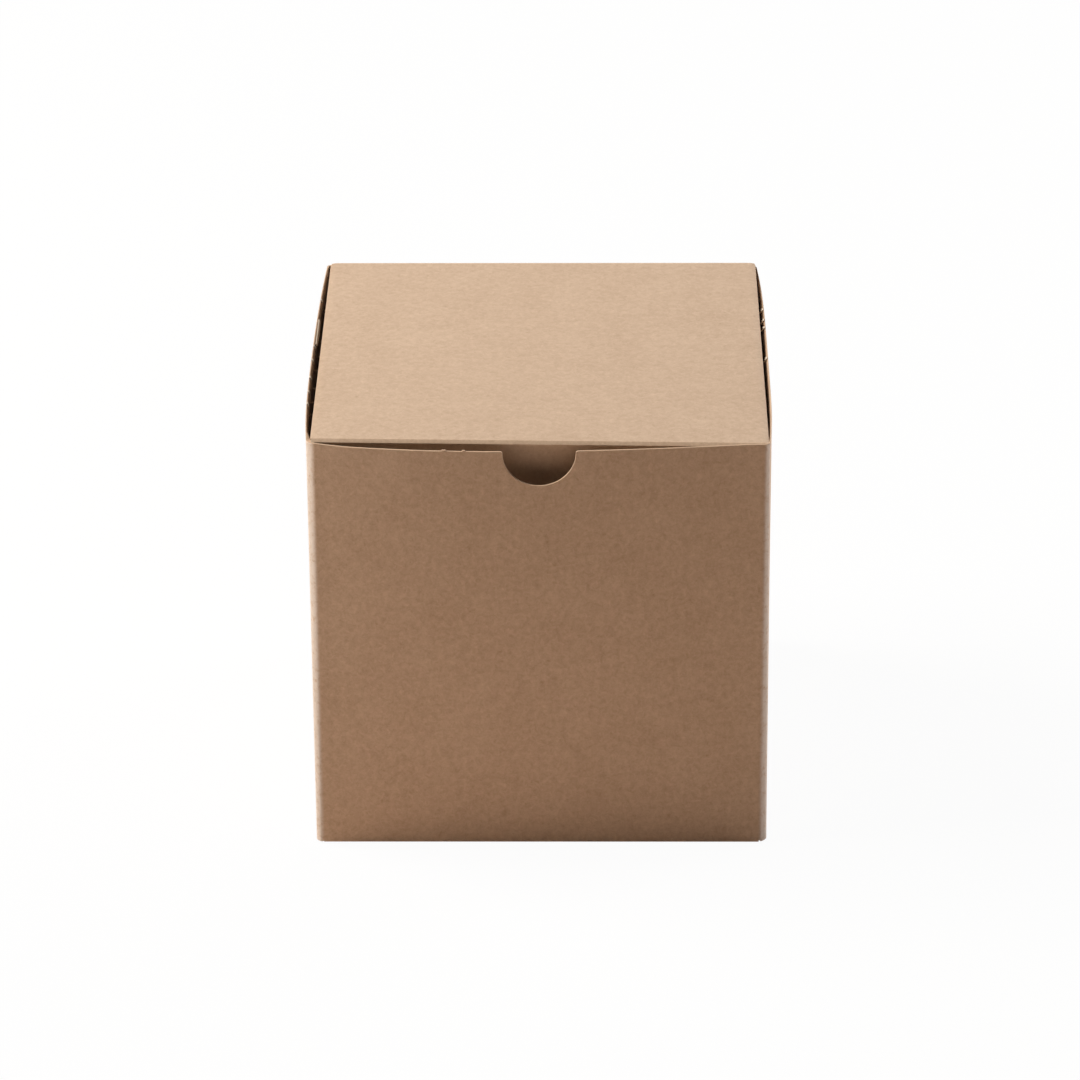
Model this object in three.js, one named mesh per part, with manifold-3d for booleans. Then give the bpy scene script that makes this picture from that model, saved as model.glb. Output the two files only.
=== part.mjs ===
// A tuck-top folding carton of kraft board: a glued sleeve of four walls, a snap-lock bottom, a hinged lid
// with a tuck flap and two dust flaps. Each panel between creases is one solid, and so is each crease.
// Millimetres, +Z up. The origin is the middle of the base, on the table. The front wall faces -Y.

import * as THREE from 'three';
import { mergeVertices } from 'three/addons/utils/BufferGeometryUtils.js';
import Module from 'manifold-3d';

const wasm = await Module();
wasm.setup();

// Driving dimensions of the sleeve
const BOX_WIDTH = 101.6; // outside of the left wall to outside of the right wall
const BOX_DEPTH = 101.6; // outside of the front wall to outside of the back wall
const BOX_HEIGHT = 100; // table to the lid's top face
const BOARD = 0.5; // board thickness
const CREASE_GAP = 0.3; // clearance between a panel and the crease beside it
const FOLD_RADIUS = 1.2; // outside of the vertical and bottom folds
const RIM_DROP = 0.5; // walls' top edges below the lid's top face

// Bulge of the walls at mid-length of their top edges, fading to nothing at the corners and the foot
const FRONT_BOW = 4;
const LEFT_BOW = 1.2;
const RIGHT_BOW = 0.6;
const BOW_FLATNESS = 3; // exponent: higher is flatter in the middle and steeper at the corners

// Thumb notch in the front wall's top edge
const NOTCH_WIDTH = 16;
const NOTCH_DEPTH = 8.3;
const NOTCH_LIP_RADIUS = 0.5;

// Lid and tuck flap
const LID_SIDE_GAP = 0.5; // lid's side edge to the inside of the side wall
const TUCK_GAP = 0.4; // tuck flap to the inside of the front wall, at the fold
const TUCK_LENGTH = 20;
const TUCK_SIDE_INSET = 1; // tuck flap's side edge inside the lid's side edge
const TUCK_TIP_INSET = 9; // further narrowing at the tip
const TUCK_CORNER_RADIUS = 10;
const TUCK_TILT = 8; // degrees, tip leaning into the box

// Dust flaps under the lid
const DUST_LENGTH = 42;
const DUST_FRONT_INSET = 5; // root's front end behind the front wall's outside
const DUST_BACK_INSET = 3; // root's back end before the back wall's outside
const DUST_TIP_INSET = 9; // narrowing of each end at the tip
const DUST_CORNER_RADIUS = 8;
const DUST_DROOP = 40; // degrees below level with the lid closed

// Glued side seam at the back right corner
const GLUE_THICKNESS = 0.2;
const GLUE_FLAP_WIDTH = 14;
const GLUE_FLAP_END_INSET = 4; // flap's ends inside the wall's top and foot
const GLUE_FLAP_TAPER = 5; // slant of the flap's ends over its width
const GLUE_MARGIN = 2; // glue line inside the flap's outline

// Snap-lock bottom, lowest layer first: front flap, side flaps, back flap, the front flap's tongue
const SIDE_RAMP = 3; // run in which a side crease climbs to its flap
const BACK_RAMP = 5;
const FRONT_FLAP_LENGTH = 55;
const FRONT_FLAP_TAPER = 6;
const SIDE_FLAP_LENGTH = 25;
const SIDE_FLAP_TAPER = 12;
const BACK_FLAP_LENGTH = 44;
const BACK_FLAP_SIDE_GAP = 2; // back flap's side edge to the inside of the side wall
const BACK_FLAP_TAPER = 6;
const FLAP_CORNER_RADIUS = 4;
const TONGUE_WIDTH = 34;
const TONGUE_RAMP = 8;
const TONGUE_LENGTH = 18; // from the front flap's edge to the tongue's tip, ramp included
const SLOT_CLEARANCE = 1.5; // tongue's side edge to the slot's side

// Facets
const BOW_STEPS_ALONG = 24;
const BOW_STEPS_UP = 4;
const CURVE_STEPS = 6;
const BEAD_SIDES = 12;
const NOTCH_STEPS = 16;
const CUT_MARGIN = 1; // how far a cutting shape reaches past what it cuts
const MERGE_DISTANCE = 1e-4;

// Lines and planes that the pieces share
const halfWidth = BOX_WIDTH / 2;
const halfDepth = BOX_DEPTH / 2;
const rimZ = BOX_HEIGHT - RIM_DROP;
const footZ = FOLD_RADIUS + CREASE_GAP; // lower end of the walls
const wallEnd = FOLD_RADIUS + CREASE_GAP; // wall's end before the outside of its neighbour
const beadRadius = BOARD / 2;
const hingeReach = beadRadius + CREASE_GAP; // panel's end to the line it hinges on
const lidZ = BOX_HEIGHT - BOARD / 2; // middle of the lid's board
const lidHingeY = halfDepth - BOARD / 2;
const tuckHingeY = -(halfDepth - BOARD - TUCK_GAP - BOARD / 2);
const lidHalfWidth = halfWidth - BOARD - LID_SIDE_GAP;
const dustHingeZ = rimZ - BOARD / 2;
const backRimZ = lidZ - hingeReach; // top of the back wall, under the lid's crease
const layerStep = BOARD + CREASE_GAP; // one bottom flap to the next one above it
const sideFlapZ = layerStep;
const backFlapZ = 2 * layerStep;
const tongueZ = 3 * layerStep;
const sideFlapRoot = FOLD_RADIUS + SIDE_RAMP + CREASE_GAP; // from the outside of the side wall
const backFlapRoot = FOLD_RADIUS + BACK_RAMP + CREASE_GAP;
const seamY = halfDepth - BOARD - GLUE_THICKNESS; // outside of the glue flap

// Colours read from the photograph
const KRAFT = 0xc19f7e;
const KRAFT_FOLD = 0xcaab8c;
const GLUE = 0xe6dfd0;

const radians = THREE.MathUtils.degToRad;
const carton = new THREE.Group();

// Shared shapes

function solidFrom(geometry) {
  const bare = geometry.clone();
  bare.deleteAttribute('normal');
  bare.deleteAttribute('uv');
  const merged = mergeVertices(bare, MERGE_DISTANCE);
  const mesh = new wasm.Mesh({
    numProp: 3,
    vertProperties: new Float32Array(merged.attributes.position.array),
    triVerts: new Uint32Array(merged.index.array),
  });
  return new wasm.Manifold(mesh);
}

function geometryFrom(solid) {
  const mesh = solid.getMesh();
  const geometry = new THREE.BufferGeometry();
  geometry.setAttribute('position', new THREE.BufferAttribute(mesh.vertProperties, mesh.numProp));
  geometry.setIndex(new THREE.BufferAttribute(mesh.triVerts, 1));
  geometry.computeVertexNormals();
  return geometry;
}

function addPiece(parent, name, geometry, color) {
  const material = new THREE.MeshStandardMaterial({ color, roughness: 0.85, metalness: 0 });
  const mesh = new THREE.Mesh(geometry, material);
  mesh.name = name;
  parent.add(mesh);
  return mesh;
}

// A closed outline through corners [x, y, radius], each rounded by its radius
function roundedOutline(corners) {
  const shape = new THREE.Shape();
  corners.forEach(([x, y, radius], i) => {
    const before = corners.at(i - 1);
    const after = corners[(i + 1) % corners.length];
    const start = new THREE.Vector2(before[0] - x, before[1] - y).setLength(radius);
    const end = new THREE.Vector2(after[0] - x, after[1] - y).setLength(radius);
    if (i === 0) {
      shape.moveTo(x + start.x, y + start.y);
    } else {
      shape.lineTo(x + start.x, y + start.y);
    }
    if (radius > 0) {
      shape.quadraticCurveTo(x, y, x + end.x, y + end.y);
    }
  });
  shape.closePath();
  return shape;
}

function extruded(shape, depth, curveSegments = CURVE_STEPS) {
  return new THREE.ExtrudeGeometry(shape, { depth, curveSegments, bevelEnabled: false });
}

// A flap of board with its middle plane at z = 0
function flapPlate(corners) {
  return extruded(roundedOutline(corners), BOARD).translate(0, 0, -BOARD / 2);
}

// A profile drawn as (inward, up), drawn out along X about the middle
function alongX(shape, length) {
  const axes = new THREE.Matrix4().makeBasis(
    new THREE.Vector3(0, 1, 0),
    new THREE.Vector3(0, 0, 1),
    new THREE.Vector3(1, 0, 0),
  );
  return extruded(shape, length).applyMatrix4(axes).translate(-length / 2, 0, 0);
}

// A round bead of board thickness along X: a crease that two panels turn on
function creaseBead(length) {
  return new THREE.CylinderGeometry(beadRadius, beadRadius, length, BEAD_SIDES).rotateZ(Math.PI / 2);
}

// A wall standing on z = 0 with its outside at y = 0, facing -Y, bulging at the top
function bowedWall(length, height, bow) {
  const geometry = new THREE.BoxGeometry(length, BOARD, height, BOW_STEPS_ALONG, 1, BOW_STEPS_UP);
  geometry.translate(0, BOARD / 2, height / 2);
  const position = geometry.attributes.position;
  for (let i = 0; i < position.count; i += 1) {
    const across = Math.abs(position.getX(i)) / (length / 2);
    const up = position.getZ(i) / height;
    const bulge = bow * (1 - across ** BOW_FLATNESS) * up;
    position.setY(i, position.getY(i) - bulge);
  }
  geometry.computeVertexNormals();
  return geometry;
}

// A quarter-round fold of the sleeve, turned to its corner
function addCornerFold(name, x, y, turns, topZ) {
  const shape = new THREE.Shape();
  shape.absarc(0, 0, FOLD_RADIUS, 0, Math.PI / 2, false);
  shape.absarc(0, 0, FOLD_RADIUS - BOARD, Math.PI / 2, 0, true);
  shape.closePath();
  const fold = addPiece(carton, name, extruded(shape, topZ - footZ), KRAFT_FOLD);
  fold.position.set(x, y, footZ);
  fold.rotation.z = turns * (Math.PI / 2);
}

// A bottom crease: a quarter round from the wall down to the table, then a ramp up to its flap
function bottomFold(length, ramp, flapZ) {
  const inner = FOLD_RADIUS - BOARD;
  const shape = new THREE.Shape();
  shape.absarc(FOLD_RADIUS, FOLD_RADIUS, FOLD_RADIUS, Math.PI, 1.5 * Math.PI, false);
  if (ramp > 0) {
    shape.lineTo(FOLD_RADIUS + ramp, flapZ);
    shape.lineTo(FOLD_RADIUS + ramp, flapZ + BOARD);
  }
  shape.absarc(FOLD_RADIUS, FOLD_RADIUS, inner, 1.5 * Math.PI, Math.PI, true);
  shape.closePath();
  return alongX(shape, length);
}

// A frame at a wall's outside: x along the wall, y into the box, z up from the table
function wallFrame(x, y, turns) {
  const frame = new THREE.Group();
  frame.position.set(x, y, 0);
  frame.rotation.z = turns * (Math.PI / 2);
  carton.add(frame);
  return frame;
}

// Front wall with the thumb notch

function notchCutter() {
  const side = NOTCH_WIDTH / 2;
  const lip = NOTCH_LIP_RADIUS;
  const shoulderZ = rimZ - lip;
  const shape = new THREE.Shape();
  shape.moveTo(-(side + lip), rimZ + CUT_MARGIN);
  shape.lineTo(-(side + lip), rimZ);
  shape.absarc(-(side + lip), shoulderZ, lip, Math.PI / 2, 0, true);
  shape.absellipse(0, shoulderZ, side, NOTCH_DEPTH - lip, Math.PI, 2 * Math.PI, false);
  shape.absarc(side + lip, shoulderZ, lip, Math.PI, Math.PI / 2, true);
  shape.lineTo(side + lip, rimZ + CUT_MARGIN);
  shape.closePath();
  const reach = FRONT_BOW + BOARD + 2 * CUT_MARGIN;
  return extruded(shape, reach, NOTCH_STEPS).rotateX(Math.PI / 2).translate(0, BOARD + CUT_MARGIN, 0);
}

function addFrontWall() {
  const frame = wallFrame(0, -halfDepth, 0);
  const length = BOX_WIDTH - 2 * wallEnd;
  const wall = bowedWall(length, rimZ - footZ, FRONT_BOW).translate(0, 0, footZ);
  const notched = solidFrom(wall).subtract(solidFrom(notchCutter()));
  addPiece(frame, 'front_wall', geometryFrom(notched), KRAFT);
  addPiece(frame, 'bottom_front_crease', bottomFold(length, 0, 0), KRAFT_FOLD);
}

// Side walls, each with its dust flap and bottom flap

function addDustFlap(frame, name, side) {
  const droop = radians(DUST_DROOP);
  const root = (BOARD / 2 + CREASE_GAP + (BOARD / 2) * Math.sin(droop)) / Math.cos(droop);
  const front = -(halfDepth - DUST_FRONT_INSET);
  const back = halfDepth - DUST_BACK_INSET;
  const plate = flapPlate([
    [side * front, root, 0],
    [side * (front + DUST_TIP_INSET), DUST_LENGTH, DUST_CORNER_RADIUS],
    [side * (back - DUST_TIP_INSET), DUST_LENGTH, DUST_CORNER_RADIUS],
    [side * back, root, 0],
  ]);
  const flap = addPiece(frame, name, plate, KRAFT);
  flap.position.set(0, BOARD / 2, dustHingeZ);
  flap.rotation.x = -droop;
}

function addSideBottomFlap(frame, name, side) {
  const front = -(halfDepth - wallEnd - FLAP_CORNER_RADIUS);
  const back = halfDepth - backFlapRoot;
  const tip = sideFlapRoot + SIDE_FLAP_LENGTH;
  const plate = flapPlate([
    [side * front, sideFlapRoot, 0],
    [side * (front + SIDE_FLAP_TAPER), tip, FLAP_CORNER_RADIUS],
    [side * (back - SIDE_FLAP_TAPER), tip, FLAP_CORNER_RADIUS],
    [side * back, sideFlapRoot, 0],
  ]);
  addPiece(frame, name, plate, KRAFT).position.z = sideFlapZ + BOARD / 2;
}

// side is -1 on the left and 1 on the right, and backEnd is where the wall's back fold begins
function addSideWall(label, side, bow, backEnd) {
  const frame = wallFrame(side * halfWidth, 0, side);
  const front = -(halfDepth - wallEnd);
  const back = backEnd - wallEnd;
  const middle = side * ((front + back) / 2);
  const wall = bowedWall(back - front, rimZ - footZ, bow).translate(middle, 0, footZ);
  addPiece(frame, `${label}_wall`, wall, KRAFT);
  const crease = bottomFold(back - front, SIDE_RAMP, sideFlapZ).translate(middle, 0, 0);
  addPiece(frame, `bottom_${label}_crease`, crease, KRAFT_FOLD);
  addDustFlap(frame, `${label}_dust_flap`, side);
  addSideBottomFlap(frame, `bottom_${label}_flap`, side);
}

// Back wall, which carries the lid and closes the sleeve over the glue flap

function addBackWall() {
  const left = -(halfWidth - wallEnd);
  const right = halfWidth - BOARD;
  const wall = new THREE.BoxGeometry(right - left, BOARD, backRimZ - footZ);
  const middle = (left + right) / 2;
  const back = addPiece(carton, 'back_wall', wall, KRAFT);
  back.position.set(middle, halfDepth - BOARD / 2, (backRimZ + footZ) / 2);
  const frame = wallFrame(0, halfDepth, 2);
  const crease = bottomFold(BOX_WIDTH - 2 * sideFlapRoot, BACK_RAMP, backFlapZ);
  addPiece(frame, 'bottom_back_crease', crease, KRAFT_FOLD);
}

// A strip on the inside of the back wall, drawn as (x, z), from its outside towards the front
function seamStrip(inset, thickness, outsideY) {
  const root = halfWidth - wallEnd - inset;
  const tip = halfWidth - wallEnd - GLUE_FLAP_WIDTH + inset;
  const low = footZ + GLUE_FLAP_END_INSET + inset;
  const high = backRimZ - GLUE_FLAP_END_INSET - inset;
  const outline = roundedOutline([
    [root, low, 0],
    [root, high, 0],
    [tip, high - GLUE_FLAP_TAPER, 0],
    [tip, low + GLUE_FLAP_TAPER, 0],
  ]);
  return extruded(outline, thickness).rotateX(Math.PI / 2).translate(0, outsideY, 0);
}

function addGlueSeam() {
  addPiece(carton, 'glue_flap', seamStrip(0, BOARD, seamY), KRAFT);
  addPiece(carton, 'glue_seam', seamStrip(GLUE_MARGIN, GLUE_THICKNESS, halfDepth - BOARD), GLUE);
}

// Front and back flaps of the snap-lock bottom

function addFrontBottomFlap() {
  const root = -(halfDepth - wallEnd);
  const edge = root + FRONT_FLAP_LENGTH;
  const tip = edge + TONGUE_LENGTH;
  const rampEnd = edge + TONGUE_RAMP;
  const side = halfWidth - sideFlapRoot;
  const tongue = TONGUE_WIDTH / 2;
  const profile = roundedOutline([
    [root, 0, 0],
    [edge, 0, 0],
    [rampEnd, tongueZ, 0],
    [tip, tongueZ, 0],
    [tip, tongueZ + BOARD, 0],
    [rampEnd, tongueZ + BOARD, 0],
    [edge, BOARD, 0],
    [root, BOARD, 0],
  ]);
  const outline = roundedOutline([
    [-side, root - CUT_MARGIN, 0],
    [side, root - CUT_MARGIN, 0],
    [side - FRONT_FLAP_TAPER, edge, FLAP_CORNER_RADIUS],
    [tongue, edge, 0],
    [tongue, tip, FLAP_CORNER_RADIUS],
    [-tongue, tip, FLAP_CORNER_RADIUS],
    [-tongue, edge, 0],
    [-(side - FRONT_FLAP_TAPER), edge, FLAP_CORNER_RADIUS],
  ]);
  const sheet = solidFrom(alongX(profile, BOX_WIDTH));
  const cut = extruded(outline, tongueZ + BOARD + 2 * CUT_MARGIN).translate(0, 0, -CUT_MARGIN);
  addPiece(carton, 'bottom_front_flap', geometryFrom(sheet.intersect(solidFrom(cut))), KRAFT);
}

function addBackBottomFlap() {
  const root = halfDepth - backFlapRoot;
  const edge = root - BACK_FLAP_LENGTH;
  const rampEnd = -(halfDepth - wallEnd) + FRONT_FLAP_LENGTH + TONGUE_RAMP;
  const slotEnd = rampEnd + SLOT_CLEARANCE;
  const side = halfWidth - BOARD - BACK_FLAP_SIDE_GAP;
  const slot = TONGUE_WIDTH / 2 + SLOT_CLEARANCE;
  const plate = flapPlate([
    [side, root, 0],
    [-side, root, 0],
    [-(side - BACK_FLAP_TAPER), edge, FLAP_CORNER_RADIUS],
    [-slot, edge, SLOT_CLEARANCE],
    [-slot, slotEnd, SLOT_CLEARANCE],
    [slot, slotEnd, SLOT_CLEARANCE],
    [slot, edge, SLOT_CLEARANCE],
    [side - BACK_FLAP_TAPER, edge, FLAP_CORNER_RADIUS],
  ]);
  addPiece(carton, 'bottom_back_flap', plate, KRAFT).position.z = backFlapZ + BOARD / 2;
}

// Lid, its crease on the back wall, and the tuck flap folded down behind the front wall

function addLid() {
  const back = lidHingeY - hingeReach;
  const front = tuckHingeY + hingeReach;
  const panel = new THREE.BoxGeometry(2 * lidHalfWidth, back - front, BOARD);
  addPiece(carton, 'lid_panel', panel, KRAFT).position.set(0, (back + front) / 2, lidZ);
  const creaseLength = 2 * (lidHalfWidth - TUCK_SIDE_INSET);
  addPiece(carton, 'lid_crease', creaseBead(creaseLength), KRAFT_FOLD).position.set(0, lidHingeY, lidZ);
  addPiece(carton, 'tuck_crease', creaseBead(creaseLength), KRAFT_FOLD).position.set(0, tuckHingeY, lidZ);
}

function addTuckFlap() {
  const side = lidHalfWidth - TUCK_SIDE_INSET;
  const tip = side - TUCK_TIP_INSET;
  const plate = flapPlate([
    [-side, hingeReach, 0],
    [side, hingeReach, 0],
    [tip, TUCK_LENGTH, TUCK_CORNER_RADIUS],
    [-tip, TUCK_LENGTH, TUCK_CORNER_RADIUS],
  ]);
  const flap = addPiece(carton, 'tuck_flap', plate, KRAFT);
  flap.position.set(0, tuckHingeY, lidZ);
  flap.rotation.x = -radians(90 - TUCK_TILT);
}

// The carton, standing closed

addFrontWall();
addSideWall('left', -1, LEFT_BOW, halfDepth);
addSideWall('right', 1, RIGHT_BOW, seamY);
addBackWall();
addCornerFold('front_left_crease', -halfWidth + FOLD_RADIUS, -halfDepth + FOLD_RADIUS, 2, rimZ);
addCornerFold('front_right_crease', halfWidth - FOLD_RADIUS, -halfDepth + FOLD_RADIUS, 3, rimZ);
addCornerFold('back_left_crease', -halfWidth + FOLD_RADIUS, halfDepth - FOLD_RADIUS, 1, backRimZ);
addCornerFold('back_right_crease', halfWidth - FOLD_RADIUS, seamY - FOLD_RADIUS, 0, backRimZ);
addGlueSeam();
addFrontBottomFlap();
addBackBottomFlap();
addLid();
addTuckFlap();

export default carton;
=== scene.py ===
"""A closed tuck-top carton of kraft board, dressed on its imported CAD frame.

Lengths are metres, +Z is up and the front wall faces -Y. Each piece starts as a flat rectangle of board
that is folded and cut with edit-mode operators, and then gets its thickness.
"""

import logging
import math
from contextlib import contextmanager
from dataclasses import dataclass
from enum import Enum
from typing import Callable, Iterator, Sequence

import bmesh
import bpy
from mathutils import Matrix, Vector


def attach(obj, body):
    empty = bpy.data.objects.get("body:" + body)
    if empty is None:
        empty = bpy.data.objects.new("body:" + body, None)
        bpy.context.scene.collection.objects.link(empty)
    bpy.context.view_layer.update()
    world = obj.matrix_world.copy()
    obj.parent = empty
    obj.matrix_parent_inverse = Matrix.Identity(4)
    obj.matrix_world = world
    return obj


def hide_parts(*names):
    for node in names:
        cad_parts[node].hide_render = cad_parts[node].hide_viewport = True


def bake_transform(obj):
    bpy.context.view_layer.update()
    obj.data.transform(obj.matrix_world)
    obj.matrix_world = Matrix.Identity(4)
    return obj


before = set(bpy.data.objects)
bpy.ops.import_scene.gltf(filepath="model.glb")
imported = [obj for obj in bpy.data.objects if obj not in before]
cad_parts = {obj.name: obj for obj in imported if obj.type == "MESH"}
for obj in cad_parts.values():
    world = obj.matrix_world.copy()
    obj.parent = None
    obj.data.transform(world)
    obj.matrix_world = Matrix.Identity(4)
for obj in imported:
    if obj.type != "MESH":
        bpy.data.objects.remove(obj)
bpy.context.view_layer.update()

log = logging.getLogger("carton")

MM = 0.001
BOARD_THICKNESS = 0.5 * MM
FRONT_FOLD_RADIUS = 2.0 * MM
BACK_FOLD_RADIUS = 1.2 * MM
BOTTOM_FOLD_RADIUS = 0.6 * MM
FOLD_SEGMENTS = 8
HALF_WIDTH = 50.8 * MM
HALF_DEPTH = 50.8 * MM
WALL_FOOT = BOTTOM_FOLD_RADIUS
FRONT_RIM = 99.5 * MM
BACK_RIM = 99.4 * MM
LID_TOP = 100 * MM
SMOOTH_ANGLE = math.radians(20)
SHARP_ANGLE = math.radians(50)
CUT_EDGE_BEVEL = 0.1 * MM
CUT_EDGE_SEGMENTS = 2
SMALL_CORNER_SEGMENTS = 4
CORNER_SEGMENTS = 5
LARGE_CORNER_SEGMENTS = 8
ROUND_PROFILE = 0.5
EDGE_MATERIAL = 1
SLACK = 0.02 * MM
MARGIN = 0.1 * MM
SQUARE_ON = 0.9
SLANTED = 0.5
NOISE_MEAN = 0.5

Colour = tuple[float, float, float]


class Body(Enum):
    """The carton's moving bodies, by their names in the record."""

    CARTON = "carton"
    LID = "lid"
    TUCK = "tuck"
    LEFT_DUST = "left_dust"
    RIGHT_DUST = "right_dust"


class Slot(Enum):
    """The record's material slots for the board."""

    BOARD = "kraft_board"
    FOLD = "kraft_fold"


class Side(Enum):
    """Left or right of someone who faces the front wall."""

    LEFT = -1
    RIGHT = 1


def near(value: float, place: float, slack: float = SLACK) -> bool:
    """Whether a coordinate lies at a place."""
    return abs(value - place) < slack


def spread(first: float, last: float, count: int) -> list[float]:
    """Evenly spaced places from first to last."""
    return [first + (last - first) * i / (count - 1) for i in range(count)]


def smooth_share(value: float, low: float, high: float) -> float:
    """A smooth step from 0 at low to 1 at high."""
    share = min(max((value - low) / (high - low), 0.0), 1.0)
    return share * share * (3 - 2 * share)


class Wire:
    """A shader value that can be used in Python expressions."""

    def __init__(self, nodes: "NodeBoard", socket: bpy.types.NodeSocket) -> None:
        """Hold an output socket of a node.

        Args:
            nodes: the node board that the socket is on.
            socket: the output socket.
        """
        self.nodes = nodes
        self.socket = socket

    def __add__(self, other: "Wire | float") -> "Wire":
        """self + other"""
        return self.nodes.math("ADD", self, other)

    def __radd__(self, other: float) -> "Wire":
        """other + self"""
        return self.nodes.math("ADD", other, self)

    def __sub__(self, other: "Wire | float") -> "Wire":
        """self - other"""
        return self.nodes.math("SUBTRACT", self, other)

    def __rsub__(self, other: float) -> "Wire":
        """other - self"""
        return self.nodes.math("SUBTRACT", other, self)

    def __mul__(self, other: "Wire | float") -> "Wire":
        """self * other"""
        return self.nodes.math("MULTIPLY", self, other)

    def __rmul__(self, other: float) -> "Wire":
        """other * self"""
        return self.nodes.math("MULTIPLY", other, self)

    def __abs__(self) -> "Wire":
        """abs(self)"""
        return self.nodes.math("ABSOLUTE", self)


class NodeBoard:
    """The nodes of one material or of the world, added one expression at a time."""

    def __init__(self, tree: bpy.types.NodeTree) -> None:
        """Start on an emptied node tree.

        Args:
            tree: the tree of a material or of the world.
        """
        self.tree = tree
        self.tree.nodes.clear()

    def add(
        self, kind: str, settings: dict | None = None, inputs: dict | None = None, output: int | str = 0
    ) -> Wire:
        """Add a node of any type.

        Args:
            kind: the node's type.
            settings: its own settings, set first.
            inputs: values or wires for its input sockets, by name or index.
            output: the output socket to hand back, by name or index.

        Returns:
            A wire from that output.
        """
        node = self.tree.nodes.new(kind)
        for name, value in (settings or {}).items():
            setattr(node, name, value)
        for name, value in (inputs or {}).items():
            if isinstance(value, Wire):
                self.tree.links.new(value.socket, node.inputs[name])
            else:
                node.inputs[name].default_value = value
        return Wire(self, node.outputs[output] if node.outputs else None)

    def math(self, operation: str, first: Wire | float, second: Wire | float = 0.0) -> Wire:
        """Add a Math node on one or two values."""
        return self.add("ShaderNodeMath", {"operation": operation}, {0: first, 1: second})

    def stretched(self, place: Wire, scale: Sequence[float]) -> Wire:
        """Scale a vector along its three axes."""
        return self.add("ShaderNodeVectorMath", {"operation": "MULTIPLY"}, {0: place, 1: tuple(scale)})

    def noise(
        self,
        place: Wire,
        size: float,
        detail: float = 2.0,
        roughness: float = 0.5,
        distortion: float = 0.0,
    ) -> Wire:
        """Add a noise pattern.

        Args:
            place: the coordinates that it reads.
            size: size of its features, in the coordinates' units.
            detail: octaves of finer features.
            roughness: weight of the finer features.
            distortion: how far the features are curled.

        Returns:
            A value about 0.5.
        """
        inputs = {
            "Vector": place,
            "Scale": 1.0 / size,
            "Detail": detail,
            "Roughness": roughness,
            "Distortion": distortion,
        }
        return self.add("ShaderNodeTexNoise", None, inputs, "Fac")

    def step(self, value: Wire, low: float, high: float) -> Wire:
        """A smooth step from 0 at low to 1 at high."""
        inputs = {"Value": value, "From Min": low, "From Max": high}
        return self.add("ShaderNodeMapRange", {"interpolation_type": "SMOOTHSTEP"}, inputs)

    def blend(self, share: Wire, first: Wire | Colour, second: Wire | Colour) -> Wire:
        """Mix two colours by a share."""
        ends = [end if isinstance(end, Wire) else (*end, 1.0) for end in (first, second)]
        return self.add("ShaderNodeMix", {"data_type": "RGBA"}, {0: share, 6: ends[0], 7: ends[1]}, 2)

    def close(self, height: Wire, strength: float, distance: float, inputs: dict) -> None:
        """Close a material with a shader on a fine relief.

        Args:
            height: the relief.
            strength: how much of it shows.
            distance: its depth.
            inputs: values or wires for the shader's other sockets.
        """
        relief = {"Strength": strength, "Distance": distance, "Height": height}
        bump = self.add("ShaderNodeBump", None, relief, "Normal")
        shader = self.add("ShaderNodeBsdfPrincipled", None, {**inputs, "Normal": bump})
        self.add("ShaderNodeOutputMaterial", None, {"Surface": shader})


def new_material(name: str) -> tuple[bpy.types.Material, NodeBoard, Wire]:
    """Start a material.

    Args:
        name: its name.

    Returns:
        The material, its empty node board and its object coordinates.
    """
    material = bpy.data.materials.new(name)
    material.use_nodes = True
    nodes = NodeBoard(material.node_tree)
    return material, nodes, nodes.add("ShaderNodeTexCoord", output="Object")


def shaded(colour: Colour, share: float) -> Colour:
    """A colour made darker or lighter by a share."""
    return tuple(channel * share for channel in colour)


def tinted(colour: Colour, tint: Colour) -> Colour:
    """A colour with each channel made darker or lighter."""
    return tuple(channel * share for channel, share in zip(colour, tint))


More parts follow.
